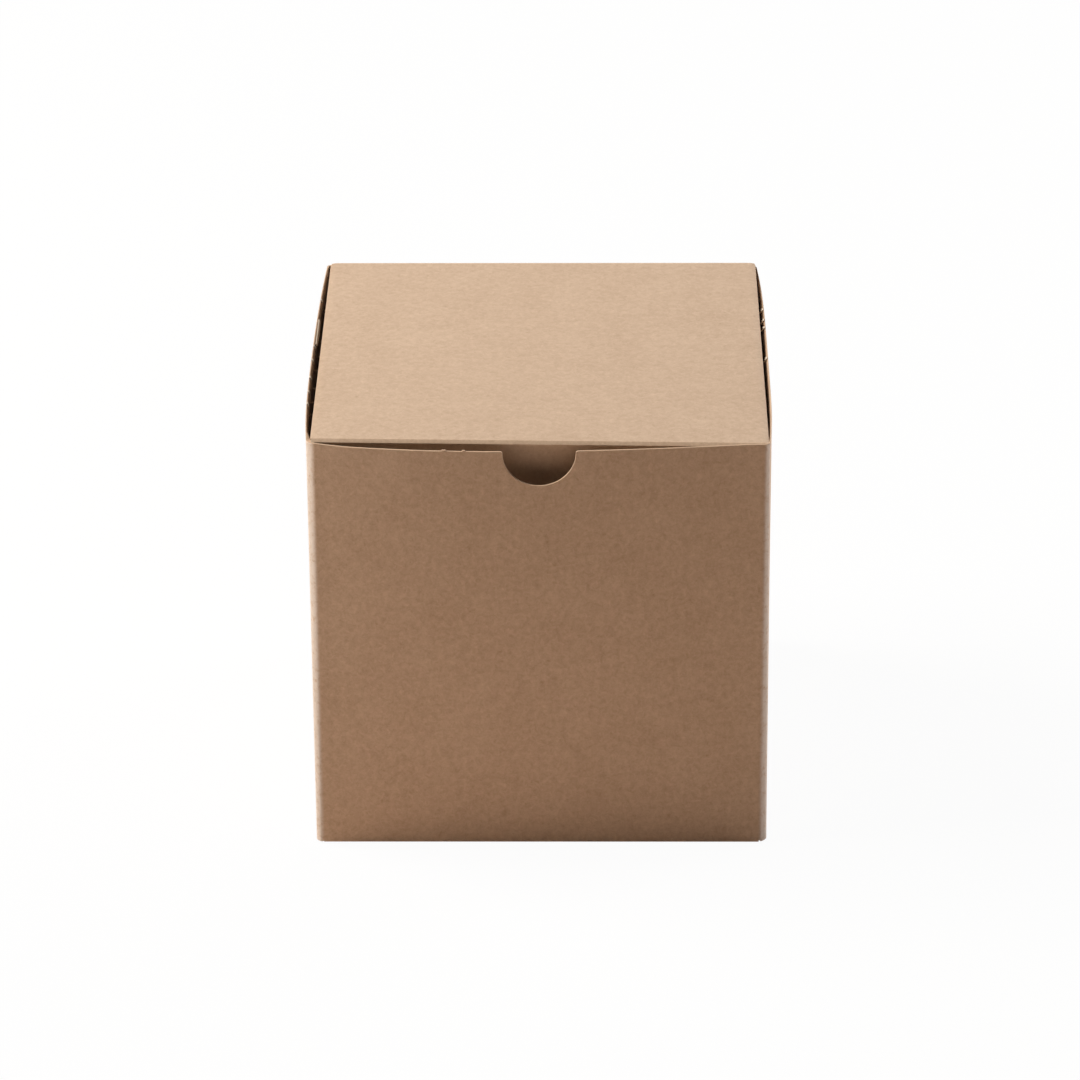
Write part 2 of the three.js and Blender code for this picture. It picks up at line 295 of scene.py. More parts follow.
@dataclass(frozen=True)
class KraftFinish:
    """Uncoated kraft board: clouds, soft mottle, curled fibres, flecks, and side folds paled partly by
    real wear and partly by a painted sheen of glancing light.
    """

    name: str
    colour: Colour
    cloud_size: float = 11 * MM
    cloud_share: float = 0.16
    mottle_size: float = 1.5 * MM
    mottle_share: float = 0.68
    mottle_detail: float = 3.0
    mottle_roughness: float = 0.85
    mottle_curl: float = 0.4
    fibre_size: float = 1.6 * MM
    fibre_share: float = 0.06
    fibre_detail: float = 1.0
    fibre_curl: float = 1.2
    fibre_levels: tuple[float, float] = (0.03, 0.008)
    fibre_length: float = 0.8
    fibre_length_levels: tuple[float, float] = (0.5, 0.62)
    fibre_relief: float = 0.3
    fleck_size: float = 1.3 * MM
    fleck_share: float = 0.10
    fleck_detail: float = 1.0
    dark_fleck_levels: tuple[float, float] = (0.70, 0.78)
    light_fleck_levels: tuple[float, float] = (0.71, 0.78)
    dark_tint: Colour = (0.64, 0.555, 0.47)
    light_tint: Colour = (1.36, 1.445, 1.53)
    # Painted sheen: the pale tint below stands partly for real wear and partly for the sheen of
    # glancing light on the side folds.
    sheen_and_wear_tint: Colour = (1.17, 1.45, 1.85)
    sheen_and_wear_share: float = 0.85
    sheen_and_wear_levels: tuple[float, float] = (0.2, 0.55)
    sheen_and_wear_slant: float = 0.45
    sheen_and_wear_width: float = 0.9 * MM
    back_sheen_and_wear: float = 0.4
    roughness: float = 0.86
    roughness_spread: float = 0.12
    specular: float = 0.22
    sheen: float = 0.15
    bump_distance: float = 0.03 * MM
    bump_strength: float = 0.6

    def make(self) -> bpy.types.Material:
        """Build the material.

        Returns:
            The finished material.
        """
        material, nodes, place = new_material(self.name)
        mirrored = nodes.stretched(place, (-1.0, 1.0, 1.0))
        cloud = nodes.noise(place, self.cloud_size) - NOISE_MEAN
        mottle = nodes.noise(
            place, self.mottle_size, self.mottle_detail, self.mottle_roughness, self.mottle_curl
        )
        mottle = mottle - NOISE_MEAN
        fibres = self.fibres(nodes, place) - self.fibres(nodes, mirrored)
        dark_flecks = self.flecks(nodes, place, self.dark_fleck_levels)
        light_flecks = self.flecks(nodes, mirrored, self.light_fleck_levels)
        tone = 0.5 + self.cloud_share * cloud + self.mottle_share * mottle + self.fibre_share * fibres
        tone = tone + self.fleck_share * light_flecks - self.fleck_share * dark_flecks
        dark = tinted(self.colour, self.dark_tint)
        light = tinted(self.colour, self.light_tint)
        colour = nodes.blend(tone, dark, light)
        # Painted sheen: the side folds are paled partly for real wear and partly for the sheen of
        # glancing light on them.
        patchy = nodes.step(mottle + NOISE_MEAN, *self.sheen_and_wear_levels)
        sheen_and_wear_mask = self.sheen_and_wear_share * self.sheen_and_wear(nodes, place) * patchy
        colour = nodes.blend(sheen_and_wear_mask, colour, tinted(self.colour, self.sheen_and_wear_tint))
        height = mottle + self.fibre_relief * fibres
        inputs = {
            "Base Color": colour,
            "Roughness": self.roughness + self.roughness_spread * mottle,
            "Specular IOR Level": self.specular,
            "Sheen Weight": self.sheen,
        }
        nodes.close(height, self.bump_strength, self.bump_distance, inputs)
        return material

    def flecks(self, nodes: NodeBoard, place: Wire, levels: tuple[float, float]) -> Wire:
        """A mask, 1 on scattered flecks."""
        return nodes.step(nodes.noise(place, self.fleck_size, self.fleck_detail), *levels)

    def fibres(self, nodes: NodeBoard, place: Wire) -> Wire:
        """Thin curled fibres, broken into short lengths.

        Args:
            nodes: the material's node board.
            place: object coordinates.

        Returns:
            A mask, 1 on a fibre.
        """
        strands = nodes.noise(place, self.fibre_size, self.fibre_detail, distortion=self.fibre_curl)
        field = abs(strands - NOISE_MEAN)
        breaks = nodes.noise(place, self.fibre_length * self.fibre_size, 0.0)
        lengths = nodes.step(breaks, *self.fibre_length_levels)
        return nodes.step(field, *self.fibre_levels) * lengths

    def sheen_and_wear(self, nodes: NodeBoard, place: Wire) -> Wire:
        """Where the sleeve's upright folds are paled, partly by real rubbing and partly by a painted
        sheen of glancing light.

        Args:
            nodes: the material's node board.
            place: object coordinates.

        Returns:
            A mask, 1 on the side of a fold that faces left or right.
        """
        across = nodes.add("ShaderNodeSeparateXYZ", None, {0: place}, "X")
        along = Wire(nodes, across.socket.node.outputs["Y"])
        fold = HALF_DEPTH - FRONT_FOLD_RADIUS
        outermost = HALF_WIDTH + self.sheen_and_wear_slant * fold
        slanted = abs(across) + self.sheen_and_wear_slant * abs(along)
        sheen_and_rubbed = nodes.step(slanted, outermost - self.sheen_and_wear_width, outermost)
        on_fold = nodes.step(abs(along), fold - self.sheen_and_wear_width, fold)
        in_front = nodes.step(along, fold, -fold)
        return sheen_and_rubbed * on_fold * (self.back_sheen_and_wear + (1.0 - self.back_sheen_and_wear) * in_front)


@dataclass(frozen=True)
class CutEdgeFinish:
    """The raw cut edge of the board, with its felted plies."""

    name: str
    colour: Colour
    ply_size: float = 0.12 * MM
    ply_share: float = 0.5
    fray_size: float = 0.5 * MM
    fray_detail: float = 3.0
    fray_roughness: float = 0.6
    dark_share: float = 0.7
    light_share: float = 1.3
    roughness: float = 0.85
    roughness_spread: float = 0.2
    specular: float = 0.15
    bump_distance: float = 0.04 * MM
    bump_strength: float = 0.35

    def make(self) -> bpy.types.Material:
        """Build the material.

        Returns:
            The finished material.
        """
        material, nodes, place = new_material(self.name)
        plies = nodes.noise(place, self.ply_size)
        fray = nodes.noise(place, self.fray_size, self.fray_detail, self.fray_roughness)
        tone = self.ply_share * plies + (1.0 - self.ply_share) * fray
        dark = shaded(self.colour, self.dark_share)
        light = shaded(self.colour, self.light_share)
        inputs = {
            "Base Color": nodes.blend(tone, dark, light),
            "Roughness": self.roughness + self.roughness_spread * (fray - NOISE_MEAN),
            "Specular IOR Level": self.specular,
        }
        nodes.close(tone, self.bump_strength, self.bump_distance, inputs)
        return material


@dataclass(frozen=True)
class GlueFinish:
    """Dried carton glue, cloudy, with a dull skin."""

    name: str
    colour: Colour
    cloud_size: float = 2.5 * MM
    cloud_detail: float = 3.0
    skin_size: float = 0.4 * MM
    dark_share: float = 0.8
    light_share: float = 1.15
    roughness: float = 0.35
    roughness_spread: float = 0.3
    bump_distance: float = 0.05 * MM
    bump_strength: float = 0.3

    def make(self) -> bpy.types.Material:
        """Build the material.

        Returns:
            The finished material.
        """
        material, nodes, place = new_material(self.name)
        cloud = nodes.noise(place, self.cloud_size, self.cloud_detail)
        skin = nodes.noise(place, self.skin_size)
        dark = shaded(self.colour, self.dark_share)
        light = shaded(self.colour, self.light_share)
        inputs = {
            "Base Color": nodes.blend(cloud, dark, light),
            "Roughness": self.roughness + self.roughness_spread * cloud,
        }
        nodes.close(skin, self.bump_strength, self.bump_distance, inputs)
        return material


KRAFT_COLOUR: Colour = (0.58, 0.42, 0.30)
KRAFT = KraftFinish("kraft_board", KRAFT_COLOUR)
KRAFT_WALL = KraftFinish("kraft_wall", KRAFT_COLOUR, mottle_share=0.9)
KRAFT_FOLD = KraftFinish("kraft_fold", shaded(KRAFT_COLOUR, 1.08))
CUT_EDGE = CutEdgeFinish("cut_edge", shaded(KRAFT_COLOUR, 1.05))
TORN_EDGE = CutEdgeFinish("torn_edge", tinted(KRAFT_COLOUR, (1.35, 1.6, 1.85)))
GLUE = GlueFinish("carton_glue", (0.72, 0.66, 0.54))


@dataclass
class Palette:
    """The made materials that the pieces share."""

    kraft: bpy.types.Material
    wall: bpy.types.Material
    fold: bpy.types.Material
    edge: bpy.types.Material
    torn: bpy.types.Material
    glue: bpy.types.Material

    @classmethod
    def mixed(cls) -> "Palette":
        """Make every finish once."""
        finishes = (KRAFT, KRAFT_WALL, KRAFT_FOLD, CUT_EDGE, TORN_EDGE, GLUE)
        return cls(*(finish.make() for finish in finishes))


class Board:
    """A sheet of board on the bench, shaped with edit-mode operators."""

    def __init__(
        self,
        name: str,
        middle: Sequence[float],
        size: tuple[float, float],
        turn: Sequence[float] = (0.0, 0.0, 0.0),
    ) -> None:
        """Lay out a flat rectangle of board.

        Args:
            name: the piece's name.
            middle: the middle of the rectangle.
            size: its width and length before it is turned.
            turn: its turn about X, Y and Z, in radians.
        """
        bpy.ops.object.select_all(action="DESELECT")
        bpy.ops.mesh.primitive_plane_add(size=1.0, location=middle, rotation=turn)
        self.obj = bpy.context.object
        self.obj.scale = (*size, 1.0)
        bpy.ops.object.transform_apply(location=True, rotation=True, scale=True)
        self.obj.name = name
        self.obj.data.name = name

    def take_up(self) -> None:
        """Select this piece alone and make it the active one."""
        bpy.ops.object.select_all(action="DESELECT")
        self.obj.select_set(True)
        bpy.context.view_layer.objects.active = self.obj

    @contextmanager
    def editing(self) -> Iterator[None]:
        """Work in edit mode for the length of a with block."""
        self.take_up()
        bpy.ops.object.mode_set(mode="EDIT")
        yield
        bpy.ops.object.mode_set(mode="OBJECT")

    def pick(self, mode: str, found: Callable[[bmesh.types.BMesh], list]) -> None:
        """Select only what a search finds.

        Args:
            mode: VERT, EDGE or FACE.
            found: lists the parts to select.
        """
        bpy.ops.mesh.select_mode(type=mode)
        bpy.ops.mesh.select_all(action="DESELECT")
        mesh = bmesh.from_edit_mesh(self.obj.data)
        parts = found(mesh)
        if not parts:
            raise ValueError(f"{self.obj.name}: nothing to select")
        for part in parts:
            part.select_set(True)
        mesh.select_flush_mode()
        bmesh.update_edit_mesh(self.obj.data)

    def pick_points(self, test: Callable[[Vector], bool]) -> None:
        """Select the points that pass a test on their place."""
        self.pick("VERT", lambda mesh: [v for v in mesh.verts if test(v.co)])

    def pick_edges(self, test: Callable[[Vector, Vector], bool]) -> None:
        """Select the edges that pass a test on their two ends."""
        self.pick("EDGE", lambda mesh: [e for e in mesh.edges if test(*(v.co for v in e.verts))])

    def pick_faces(self, test: Callable[[Vector, Vector], bool]) -> None:
        """Select the faces that pass a test on their middle and normal."""

        def found(mesh: bmesh.types.BMesh) -> list:
            """Faces of the mesh that pass."""
            return [f for f in mesh.faces if test(f.calc_center_median(), f.normal)]

        self.pick("FACE", found)

    def pick_sharp(self, test: Callable[[Vector], bool]) -> None:
        """Select the sharp edges that pass a test on their middle."""

        def found(mesh: bmesh.types.BMesh) -> list:
            """Sharp edges of the mesh."""
            sharp = [e for e in mesh.edges if e.calc_face_angle(0.0) > SHARP_ANGLE]
            return [e for e in sharp if test((e.verts[0].co + e.verts[1].co) / 2)]

        self.pick("EDGE", found)

    @staticmethod
    def draw_out(move: Sequence[float]) -> None:
        """Extrude the selected edges."""
        bpy.ops.mesh.extrude_edges_move(TRANSFORM_OT_translate={"value": tuple(move)})

    @staticmethod
    def raise_faces(move: Sequence[float]) -> None:
        """Extrude the selected faces."""
        bpy.ops.mesh.extrude_region_move(TRANSFORM_OT_translate={"value": tuple(move)})

    @staticmethod
    def round_edges(
        radius: float, segments: int, material: int = -1, profile: float = ROUND_PROFILE
    ) -> None:
        """Bevel the selected edges round, or flatter with a lower profile."""
        bpy.ops.mesh.bevel(
            offset=radius,
            segments=segments,
            affect="EDGES",
            clamp_overlap=False,
            material=material,
            profile=profile,
        )

    @staticmethod
    def round_corners(radius: float, segments: int) -> None:
        """Bevel the selected corner points round."""
        bpy.ops.mesh.bevel(offset=radius, segments=segments, affect="VERTICES", clamp_overlap=False)

    @staticmethod
    def squeeze(value: Sequence[float], centre: Sequence[float] = (0.0, 0.0, 0.0)) -> None:
        """Scale what is selected about a centre."""
        bpy.ops.transform.resize(value=tuple(value), center_override=tuple(centre))

    @staticmethod
    def curl(angle: float, centre: Sequence[float], axis: Sequence[float]) -> None:
        """Spin the selected edges into a round fold.

        Args:
            angle: its turn by the right-hand rule, which the operator counts the other way.
            centre: a point on the fold's axis.
            axis: direction of the fold's axis.
        """
        bpy.ops.mesh.spin(steps=FOLD_SEGMENTS, angle=-angle, center=tuple(centre), axis=tuple(axis))

    def score(self, axis: int, places: Sequence[float], test: Callable[[Vector, Vector], bool]) -> None:
        """Cut lines across some faces.

        Args:
            axis: 0, 1 or 2, the axis that the cuts stand square to.
            places: where along that axis the cuts go.
            test: which faces are cut, by middle and normal.
        """
        normal = [0.0, 0.0, 0.0]
        normal[axis] = 1.0
        for place in places:
            point = [0.0, 0.0, 0.0]
            point[axis] = place
            self.pick_faces(test)
            bpy.ops.mesh.bisect(plane_co=point, plane_no=normal)

    def face_outwards(self, test: Callable[[Vector, Vector], bool]) -> None:
        """Make all normals agree, and turn them over unless a face passes a test.

        Args:
            test: true of at least one face whose normal is right, by middle and normal.
        """
        bpy.ops.mesh.select_all(action="SELECT")
        bpy.ops.mesh.normals_make_consistent(inside=False)
        mesh = bmesh.from_edit_mesh(self.obj.data)
        if not any(test(f.calc_center_median(), f.normal) for f in mesh.faces):
            bpy.ops.mesh.flip_normals()

    def reshape(self, place: Callable[[Vector], Vector]) -> None:
        """Move every point to a new place."""
        for point in self.obj.data.vertices:
            point.co = place(point.co)
        self.obj.data.update()

    def apply(self, kind: str, **settings: object) -> None:
        """Add a modifier and apply it.

        Args:
            kind: the modifier's type.
            settings: its settings.
        """
        self.take_up()
        modifier = self.obj.modifiers.new(kind.title(), kind)
        for name, value in settings.items():
            setattr(modifier, name, value)
        bpy.ops.object.modifier_apply(modifier=modifier.name)

    def paint(self, face: bpy.types.Material, edge: bpy.types.Material) -> None:
        """Give the sheet its face material and its cut-edge material."""
        self.obj.data.materials.append(face)
        self.obj.data.materials.append(edge)

    def thicken(self, offset: float = -1.0) -> None:
        """Give the sheet the board's thickness, behind its faces unless another offset is given."""
        self.apply(
            "SOLIDIFY",
            thickness=BOARD_THICKNESS,
            offset=offset,
            use_even_offset=True,
            use_quality_normals=True,
            material_offset_rim=EDGE_MATERIAL,
        )

    def soften_cuts(self, test: Callable[[Vector], bool]) -> None:
        """Round the cut edges that pass a test on their middle."""
        with self.editing():
            self.pick_sharp(test)
            self.round_edges(CUT_EDGE_BEVEL, CUT_EDGE_SEGMENTS, EDGE_MATERIAL)

    def smooth(self) -> None:
        """Shade the soft bends smooth and keep the cut edges crisp."""
        self.take_up()
        bpy.ops.object.shade_smooth_by_angle(angle=SMOOTH_ANGLE)

    def dress(self, face: bpy.types.Material, edge: bpy.types.Material) -> None:
        """Give a folded sheet its materials, its thickness and its shading.

        Args:
            face: the material of its two faces.
            edge: the material of its cut edges.
        """
        self.paint(face, edge)
        self.thicken()
        self.smooth()

    def put(self, body: Body, slot: Slot, nodes: Sequence[str]) -> bpy.types.Object:
        """Let the piece ride on a body and stand for its CAD nodes.

        Args:
            body: the body that it moves with.
            slot: its material slot in the record; not used.
            nodes: the CAD nodes that it stands for.

        Returns:
            The piece's object.
        """
        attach(self.obj, body.value)
        if nodes:
            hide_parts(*nodes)
        return self.obj

    def hinge(
        self,
        bodies: tuple[Body, Body],
        start: Sequence[float],
        end: Sequence[float],
        nodes: Sequence[str],
    ) -> bpy.types.Object:
        """Bake the piece's placement into its mesh and hide the CAD nodes that it stands for.

        Args:
            bodies: the body at its start and the body at its end; not used.
            start: the point before which it stays with the first body; not used.
            end: the point past which it turns with the second body; not used.
            nodes: the CAD nodes that it stands for.

        Returns:
            The piece's object.
        """
        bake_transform(self.obj)
        if nodes:
            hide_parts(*nodes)
        return self.obj


@dataclass(frozen=True)
class Bow:
    """How a wall bulges along its top edge, with its peak off the middle."""

    height: float
    peak: float
    low_end: float
    high_end: float
    low_flatness: float
    high_flatness: float

    def at(self, along: float) -> float:
        """The bulge at a place along the wall.

        Args:
            along: the place, as a coordinate.

        Returns:
            The distance outwards.
        """
        if along < self.peak:
            share = (self.peak - along) / (self.peak - self.low_end)
            flatness = self.low_flatness
        else:
            share = (along - self.peak) / (self.high_end - self.peak)
            flatness = self.high_flatness
        return self.height * (1.0 - min(share, 1.0) ** flatness)


@dataclass
class Sleeve:
    """The four walls, folded from one strip of board and glued at the back right corner."""

    front_bow: Bow = Bow(3.75 * MM, -6.0 * MM, -48.8 * MM, 46.5 * MM, 2.2, 1.7)
    left_bow: Bow = Bow(1.05 * MM, -14.0 * MM, -48.8 * MM, 49.3 * MM, 2.5, 2.5)
    right_bow: Bow = Bow(1.0 * MM, -5.0 * MM, -48.8 * MM, 49.2 * MM, 4.5, 4.0)
    straight_half: float = 48.6 * MM
    front_swell: float = 2.0
    front_rows: int = 9
    front_fold_profile: float = 0.36
    left_fold_shares: tuple[float, float] = (0.6, 1.0)
    right_fold_shares: tuple[float, float] = (0.8, 0.55)
    lean: float = 0.3 * MM
    left_flare: float = 0.2 * MM
    right_flare: float = 0.3 * MM
    flare_power: float = 3.0
    corner_foot: float = 0.3 * MM
    corner_reach: float = 1.45 * MM
    back_crease_half: float = 49.0 * MM
    crease_step: float = 0.3 * MM
    seam_y: float = 50.1 * MM
    glue_flap_tip: float = 35.3 * MM
    glue_flap_root: float = 49.2 * MM
    glue_flap_inset: float = 4.3 * MM
    glue_flap_taper: float = 5.0 * MM
    notch_half: float = 8.0 * MM
    notch_depth: float = 8.3 * MM
    notch_lip: float = 0.5 * MM
    notch_margin: float = 1.5 * MM
    punch_sides: int = 96
    punch_reach: float = 4.0
    nick_places: tuple[float, float] = (-20.8 * MM, -16.5 * MM)
    nick_widths: tuple[float, float] = (0.9 * MM, 0.6 * MM)
    nick_height: float = 0.28 * MM
    nick_bends: Sequence[tuple[float, float, float]] = (
        (0.05 * MM, 0.0, 0.6),
        (-0.1 * MM, -0.05 * MM, 0.4),
    )
    soft_cuts_above: float = 3.0 * MM
    rise_slack: float = 0.001
    rim_across_share: float = 0.8
    lip_shares: tuple[float, float] = (0.25, 0.75)
    inside_shares: tuple[float, float] = (0.75, 2.0)
    rim_sink: float = 0.9 * MM
    right_lip_pinch: float = 0.1 * MM
    right_rim_dip: float = 0.55 * MM
    left_rim_corner: tuple[float, float] = (4.0 * MM, 9.0 * MM)
    right_rim_corner: tuple[float, float] = (0.5 * MM, 3.0 * MM)
    corner_lift: float = 0.3 * MM
    corner_lift_run: tuple[float, float] = (1.0 * MM, 9.0 * MM)
    corner_bead: float = 0.5 * MM
    corner_bead_run: tuple[float, float] = (1.0 * MM, 8.0 * MM)
    columns: int = 12

    def build(self, palette: Palette) -> bpy.types.Object:
        """Fold, bow, thicken, notch and dress the sleeve.

        Args:
            palette: the shared materials.

        Returns:
            The sleeve.
        """
        board = self.folded_strip()
        self.score_walls(board)
        board.reshape(self.settled)
        board.paint(palette.wall, palette.edge)
        board.thicken()
        self.split_side_rims(board)
        board.reshape(self.sunk)
        self.cut_notch(board)
        self.raise_nicks(board)
        board.soften_cuts(lambda middle: middle.z > self.soft_cuts_above)
        board.smooth()
        nodes = ["front_wall", "left_wall", "right_wall", "back_wall", "glue_flap"]
        nodes += [f"{end}_{side}_crease" for end in ("front", "back") for side in ("left", "right")]
        return board.put(Body.CARTON, Slot.BOARD, nodes)

    def folded_strip(self) -> Board:
        """Fold a strip round the box, from the back wall's free edge to the glue flap.

        Returns:
            The strip's outside, with round folds.
        """
        free_edge = HALF_WIDTH - BOARD_THICKNESS
        width = free_edge + HALF_WIDTH
        height = FRONT_RIM - WALL_FOOT
        middle = (free_edge - width / 2, HALF_DEPTH, WALL_FOOT + height / 2)
        board = Board("sleeve", middle, (width, height), (math.pi / 2, 0.0, 0.0))
        front_corners = [(-HALF_WIDTH, -HALF_DEPTH), (HALF_WIDTH, -HALF_DEPTH)]
        back_corners = [(-HALF_WIDTH, HALF_DEPTH), (HALF_WIDTH, self.seam_y)]
        with board.editing():
            board.pick_edges(lambda a, b: near(a.x, -HALF_WIDTH) and near(b.x, -HALF_WIDTH))
            board.draw_out((0.0, -2 * HALF_DEPTH, 0.0))
            board.draw_out((2 * HALF_WIDTH, 0.0, 0.0))
            board.draw_out((0.0, HALF_DEPTH + self.seam_y, 0.0))
            board.draw_out((self.glue_flap_tip - HALF_WIDTH, 0.0, 0.0))
            for corners, radius, profile in (
                (front_corners, FRONT_FOLD_RADIUS, self.front_fold_profile),
                (back_corners, BACK_FOLD_RADIUS, ROUND_PROFILE),
            ):
                board.pick_edges(
                    lambda a, b: any(
                        near(a.x, x) and near(b.x, x) and near(a.y, y) and near(b.y, y)
                        for x, y in corners
                    )
                )
                board.round_edges(radius, FOLD_SEGMENTS, profile=profile)
            board.face_outwards(self.is_front)
        return board

    @staticmethod
    def is_front(middle: Vector, normal: Vector) -> bool:
        """Whether a face of the straight strip is on the front wall's outside."""
        return near(middle.y, -HALF_DEPTH) and normal.y < -SQUARE_ON

    def score_walls(self, board: Board) -> None:
        """Cut the lines along which the walls bow.

        Args:
            board: the folded strip.
        """
        end = self.straight_half
        notch = self.notch_half + self.notch_margin
        right_half = spread(notch, end, self.columns)
        front = right_half + [-x for x in right_half]
        for place, width in zip(self.nick_places, self.nick_widths):
            front += [place + self.lean - width / 2, place + self.lean + width / 2]
        rows = spread(WALL_FOOT, FRONT_RIM, self.front_rows + 2)[1:-1]
        sides = spread(-end, end, 2 * self.columns)
        crease = self.back_crease_half
        past_crease = crease + self.crease_step
        back = [-crease, crease, -past_crease, past_crease]
        with board.editing():
            board.score(0, front, self.is_front)
            board.score(2, rows, self.is_front)
            board.score(1, sides, lambda middle, normal: near(abs(middle.x), HALF_WIDTH))
            board.score(0, back, lambda middle, normal: near(middle.y, HALF_DEPTH))
            board.score(0, [self.glue_flap_root], lambda middle, normal: near(middle.y, self.seam_y))

    def rise(self, z: float) -> float:
        """Share of a wall's height."""
        return min(max((z - WALL_FOOT) / (FRONT_RIM - WALL_FOOT), 0.0), 1.0)

    def along_rim(self, side: Side, y: float) -> float:
        """Share of a side wall's dip or bend at a place along its top edge, none at its corners."""
        corner = self.left_rim_corner if side is Side.LEFT else self.right_rim_corner
        return smooth_share(HALF_DEPTH - abs(y), *corner)

    def rim(self, x: float, y: float) -> float:
        """Height of the walls' top edges, highest at the front left corner.

        Args:
            x: the place across the box.
            y: the place from front to back.

        Returns:
            Its z.
        """
        backwards = smooth_share(y, -self.straight_half, self.straight_half)
        level = FRONT_RIM + (BACK_RIM - FRONT_RIM) * backwards
        if x > 0.0:
            return level - self.right_rim_dip * self.along_rim(Side.RIGHT, y)
        from_corner = max(x + HALF_WIDTH, y + HALF_DEPTH)
        return level + self.corner_lift * (1.0 - smooth_share(from_corner, *self.corner_lift_run))

    def side_face(self, side: Side, y: float) -> float:
        """Where the outside of a side wall is at its top edge.

        Args:
            side: which wall.
            y: the place along it.

        Returns:
            Its x.
        """
        bow = self.left_bow if side is Side.LEFT else self.right_bow
        return side.value * (HALF_WIDTH + bow.at(y)) - self.lean

    def folded(self, x: float, y: float, rise: float) -> tuple[float, float]:
        """Narrow a front fold towards its sharper end.

        Args:
            x: a point's place across the box.
            y: its place from front to back.
            rise: its height, from 0 at the foot to 1 at the rim.

        Returns:
            Its x and y after that.
        """
        fold = HALF_WIDTH - FRONT_FOLD_RADIUS - SLACK
        if abs(x) < fold or y > -fold:
            return x, y
        low, high = self.left_fold_shares if x < 0.0 else self.right_fold_shares
        share = low + (high - low) * rise
        corner_x = math.copysign(HALF_WIDTH, x)
        return corner_x + (x - corner_x) * share, -HALF_DEPTH + (y + HALF_DEPTH) * share

    def settled(self, point: Vector) -> Vector:
        """Bow, lean and trim the strip.

        Args:
            point: a point of the straight strip.

        Returns:
            Its place in the finished sleeve.
        """
        x, y, z = point
        rise = self.rise(z)
        x, y = self.folded(x, y, rise)
        on_glue_flap = near(y, self.seam_y) and x < self.glue_flap_root + MARGIN
        if on_glue_flap:
            width = self.glue_flap_root - self.glue_flap_tip
            inset = self.glue_flap_inset + self.glue_flap_taper * (self.glue_flap_root - x) / width
            z = BACK_RIM - inset if rise > 0.5 else WALL_FOOT + inset
        elif near(rise, 1.0, self.rise_slack):
            z = self.rim(x, y)
        elif near(rise, 0.0, self.rise_slack) and self.is_open_foot(x, y):
            z = self.corner_foot
        if near(point.y, -HALF_DEPTH):
            y -= self.front_bow.at(x) * (1.0 - (1.0 - rise) ** self.front_swell)
        elif near(point.x, -HALF_WIDTH):
            x -= self.left_bow.at(y) * rise
        elif near(point.x, HALF_WIDTH):
            x += self.right_bow.at(y) * rise
        return Vector((x - self.lean * rise + self.flare(x, rise), y, z))

    def flare(self, x: float, rise: float) -> float:
        """How far a wall's foot spreads sideways.

        Args:
            x: a point's place across the box.
            rise: its height, from 0 at the foot to 1 at the rim.

        Returns:
            The move along x.
        """
        spread_out = self.right_flare if x > 0.0 else -self.left_flare
        on_side = abs(x) > HALF_WIDTH - FRONT_FOLD_RADIUS
        return spread_out * (1.0 - rise) ** self.flare_power if on_side else 0.0

    def split_side_rims(self, board: Board) -> None:
        """Cut a line along the middle of each side wall's top edge.

        Args:
            board: the thick sleeve.
        """

        def crosses(a: Vector, b: Vector) -> bool:
            """Whether an edge runs across the board's thickness there."""
            on_top = min(a.z, b.z) > BACK_RIM - 2 * self.right_rim_dip
            on_side = abs(a.x) > self.straight_half
            between_folds = max(abs(a.y), abs(b.y)) < self.straight_half + MARGIN
            across = abs(a.x - b.x) > self.rim_across_share * BOARD_THICKNESS
            return on_top and on_side and between_folds and across

        with board.editing():
            board.pick_edges(crosses)
            bpy.ops.mesh.subdivide(number_cuts=1)

    def sunk(self, point: Vector) -> Vector:
        """Slope the side walls' top edges inwards, and thicken the rim at the front left corner.

        Args:
            point: a point of the thick sleeve.

        Returns:
            Its place with the bent edges.
        """
        x, y, z = point
        if z < self.rim(x, y) - MARGIN:
            return point
        fold = HALF_WIDTH - FRONT_FOLD_RADIUS + BOARD_THICKNESS
        if x < -fold and y < -fold:
            inside = x + y + self.lean > FRONT_FOLD_RADIUS + 0.5 * BOARD_THICKNESS - 2 * HALF_WIDTH
            bead = self.corner_bead * math.sqrt(0.5) if inside else 0.0
            return point + Vector((bead, bead, 0.0))
        side = Side.LEFT if x < 0.0 else Side.RIGHT
        depth = side.value * (self.side_face(side, y) - x) / BOARD_THICKNESS
        lip_start, lip_end = self.lip_shares
        if side is Side.RIGHT and lip_start < depth < lip_end:
            return point + Vector((self.right_lip_pinch, 0.0, 0.0))
        inside_start, inside_end = self.inside_shares
        if not inside_start < depth < inside_end:
            return point
        sink = self.rim_sink * self.along_rim(side, y)
        thicker = 0.0
        if side is Side.LEFT:
            thicker = self.corner_bead * (1.0 - smooth_share(y + HALF_DEPTH, *self.corner_bead_run))
        return point + Vector((thicker, 0.0, -sink))

    def is_open_foot(self, x: float, y: float) -> bool:
        """Whether the foot at a place has no bottom fold and reaches further down."""
        reach = self.corner_reach
        beside_side_wall = abs(x) > HALF_WIDTH - reach
        corner = beside_side_wall and (y < -HALF_DEPTH + reach or y > self.seam_y - reach)
        back = y > HALF_DEPTH - reach and abs(x) > self.back_crease_half + MARGIN
        return corner or back

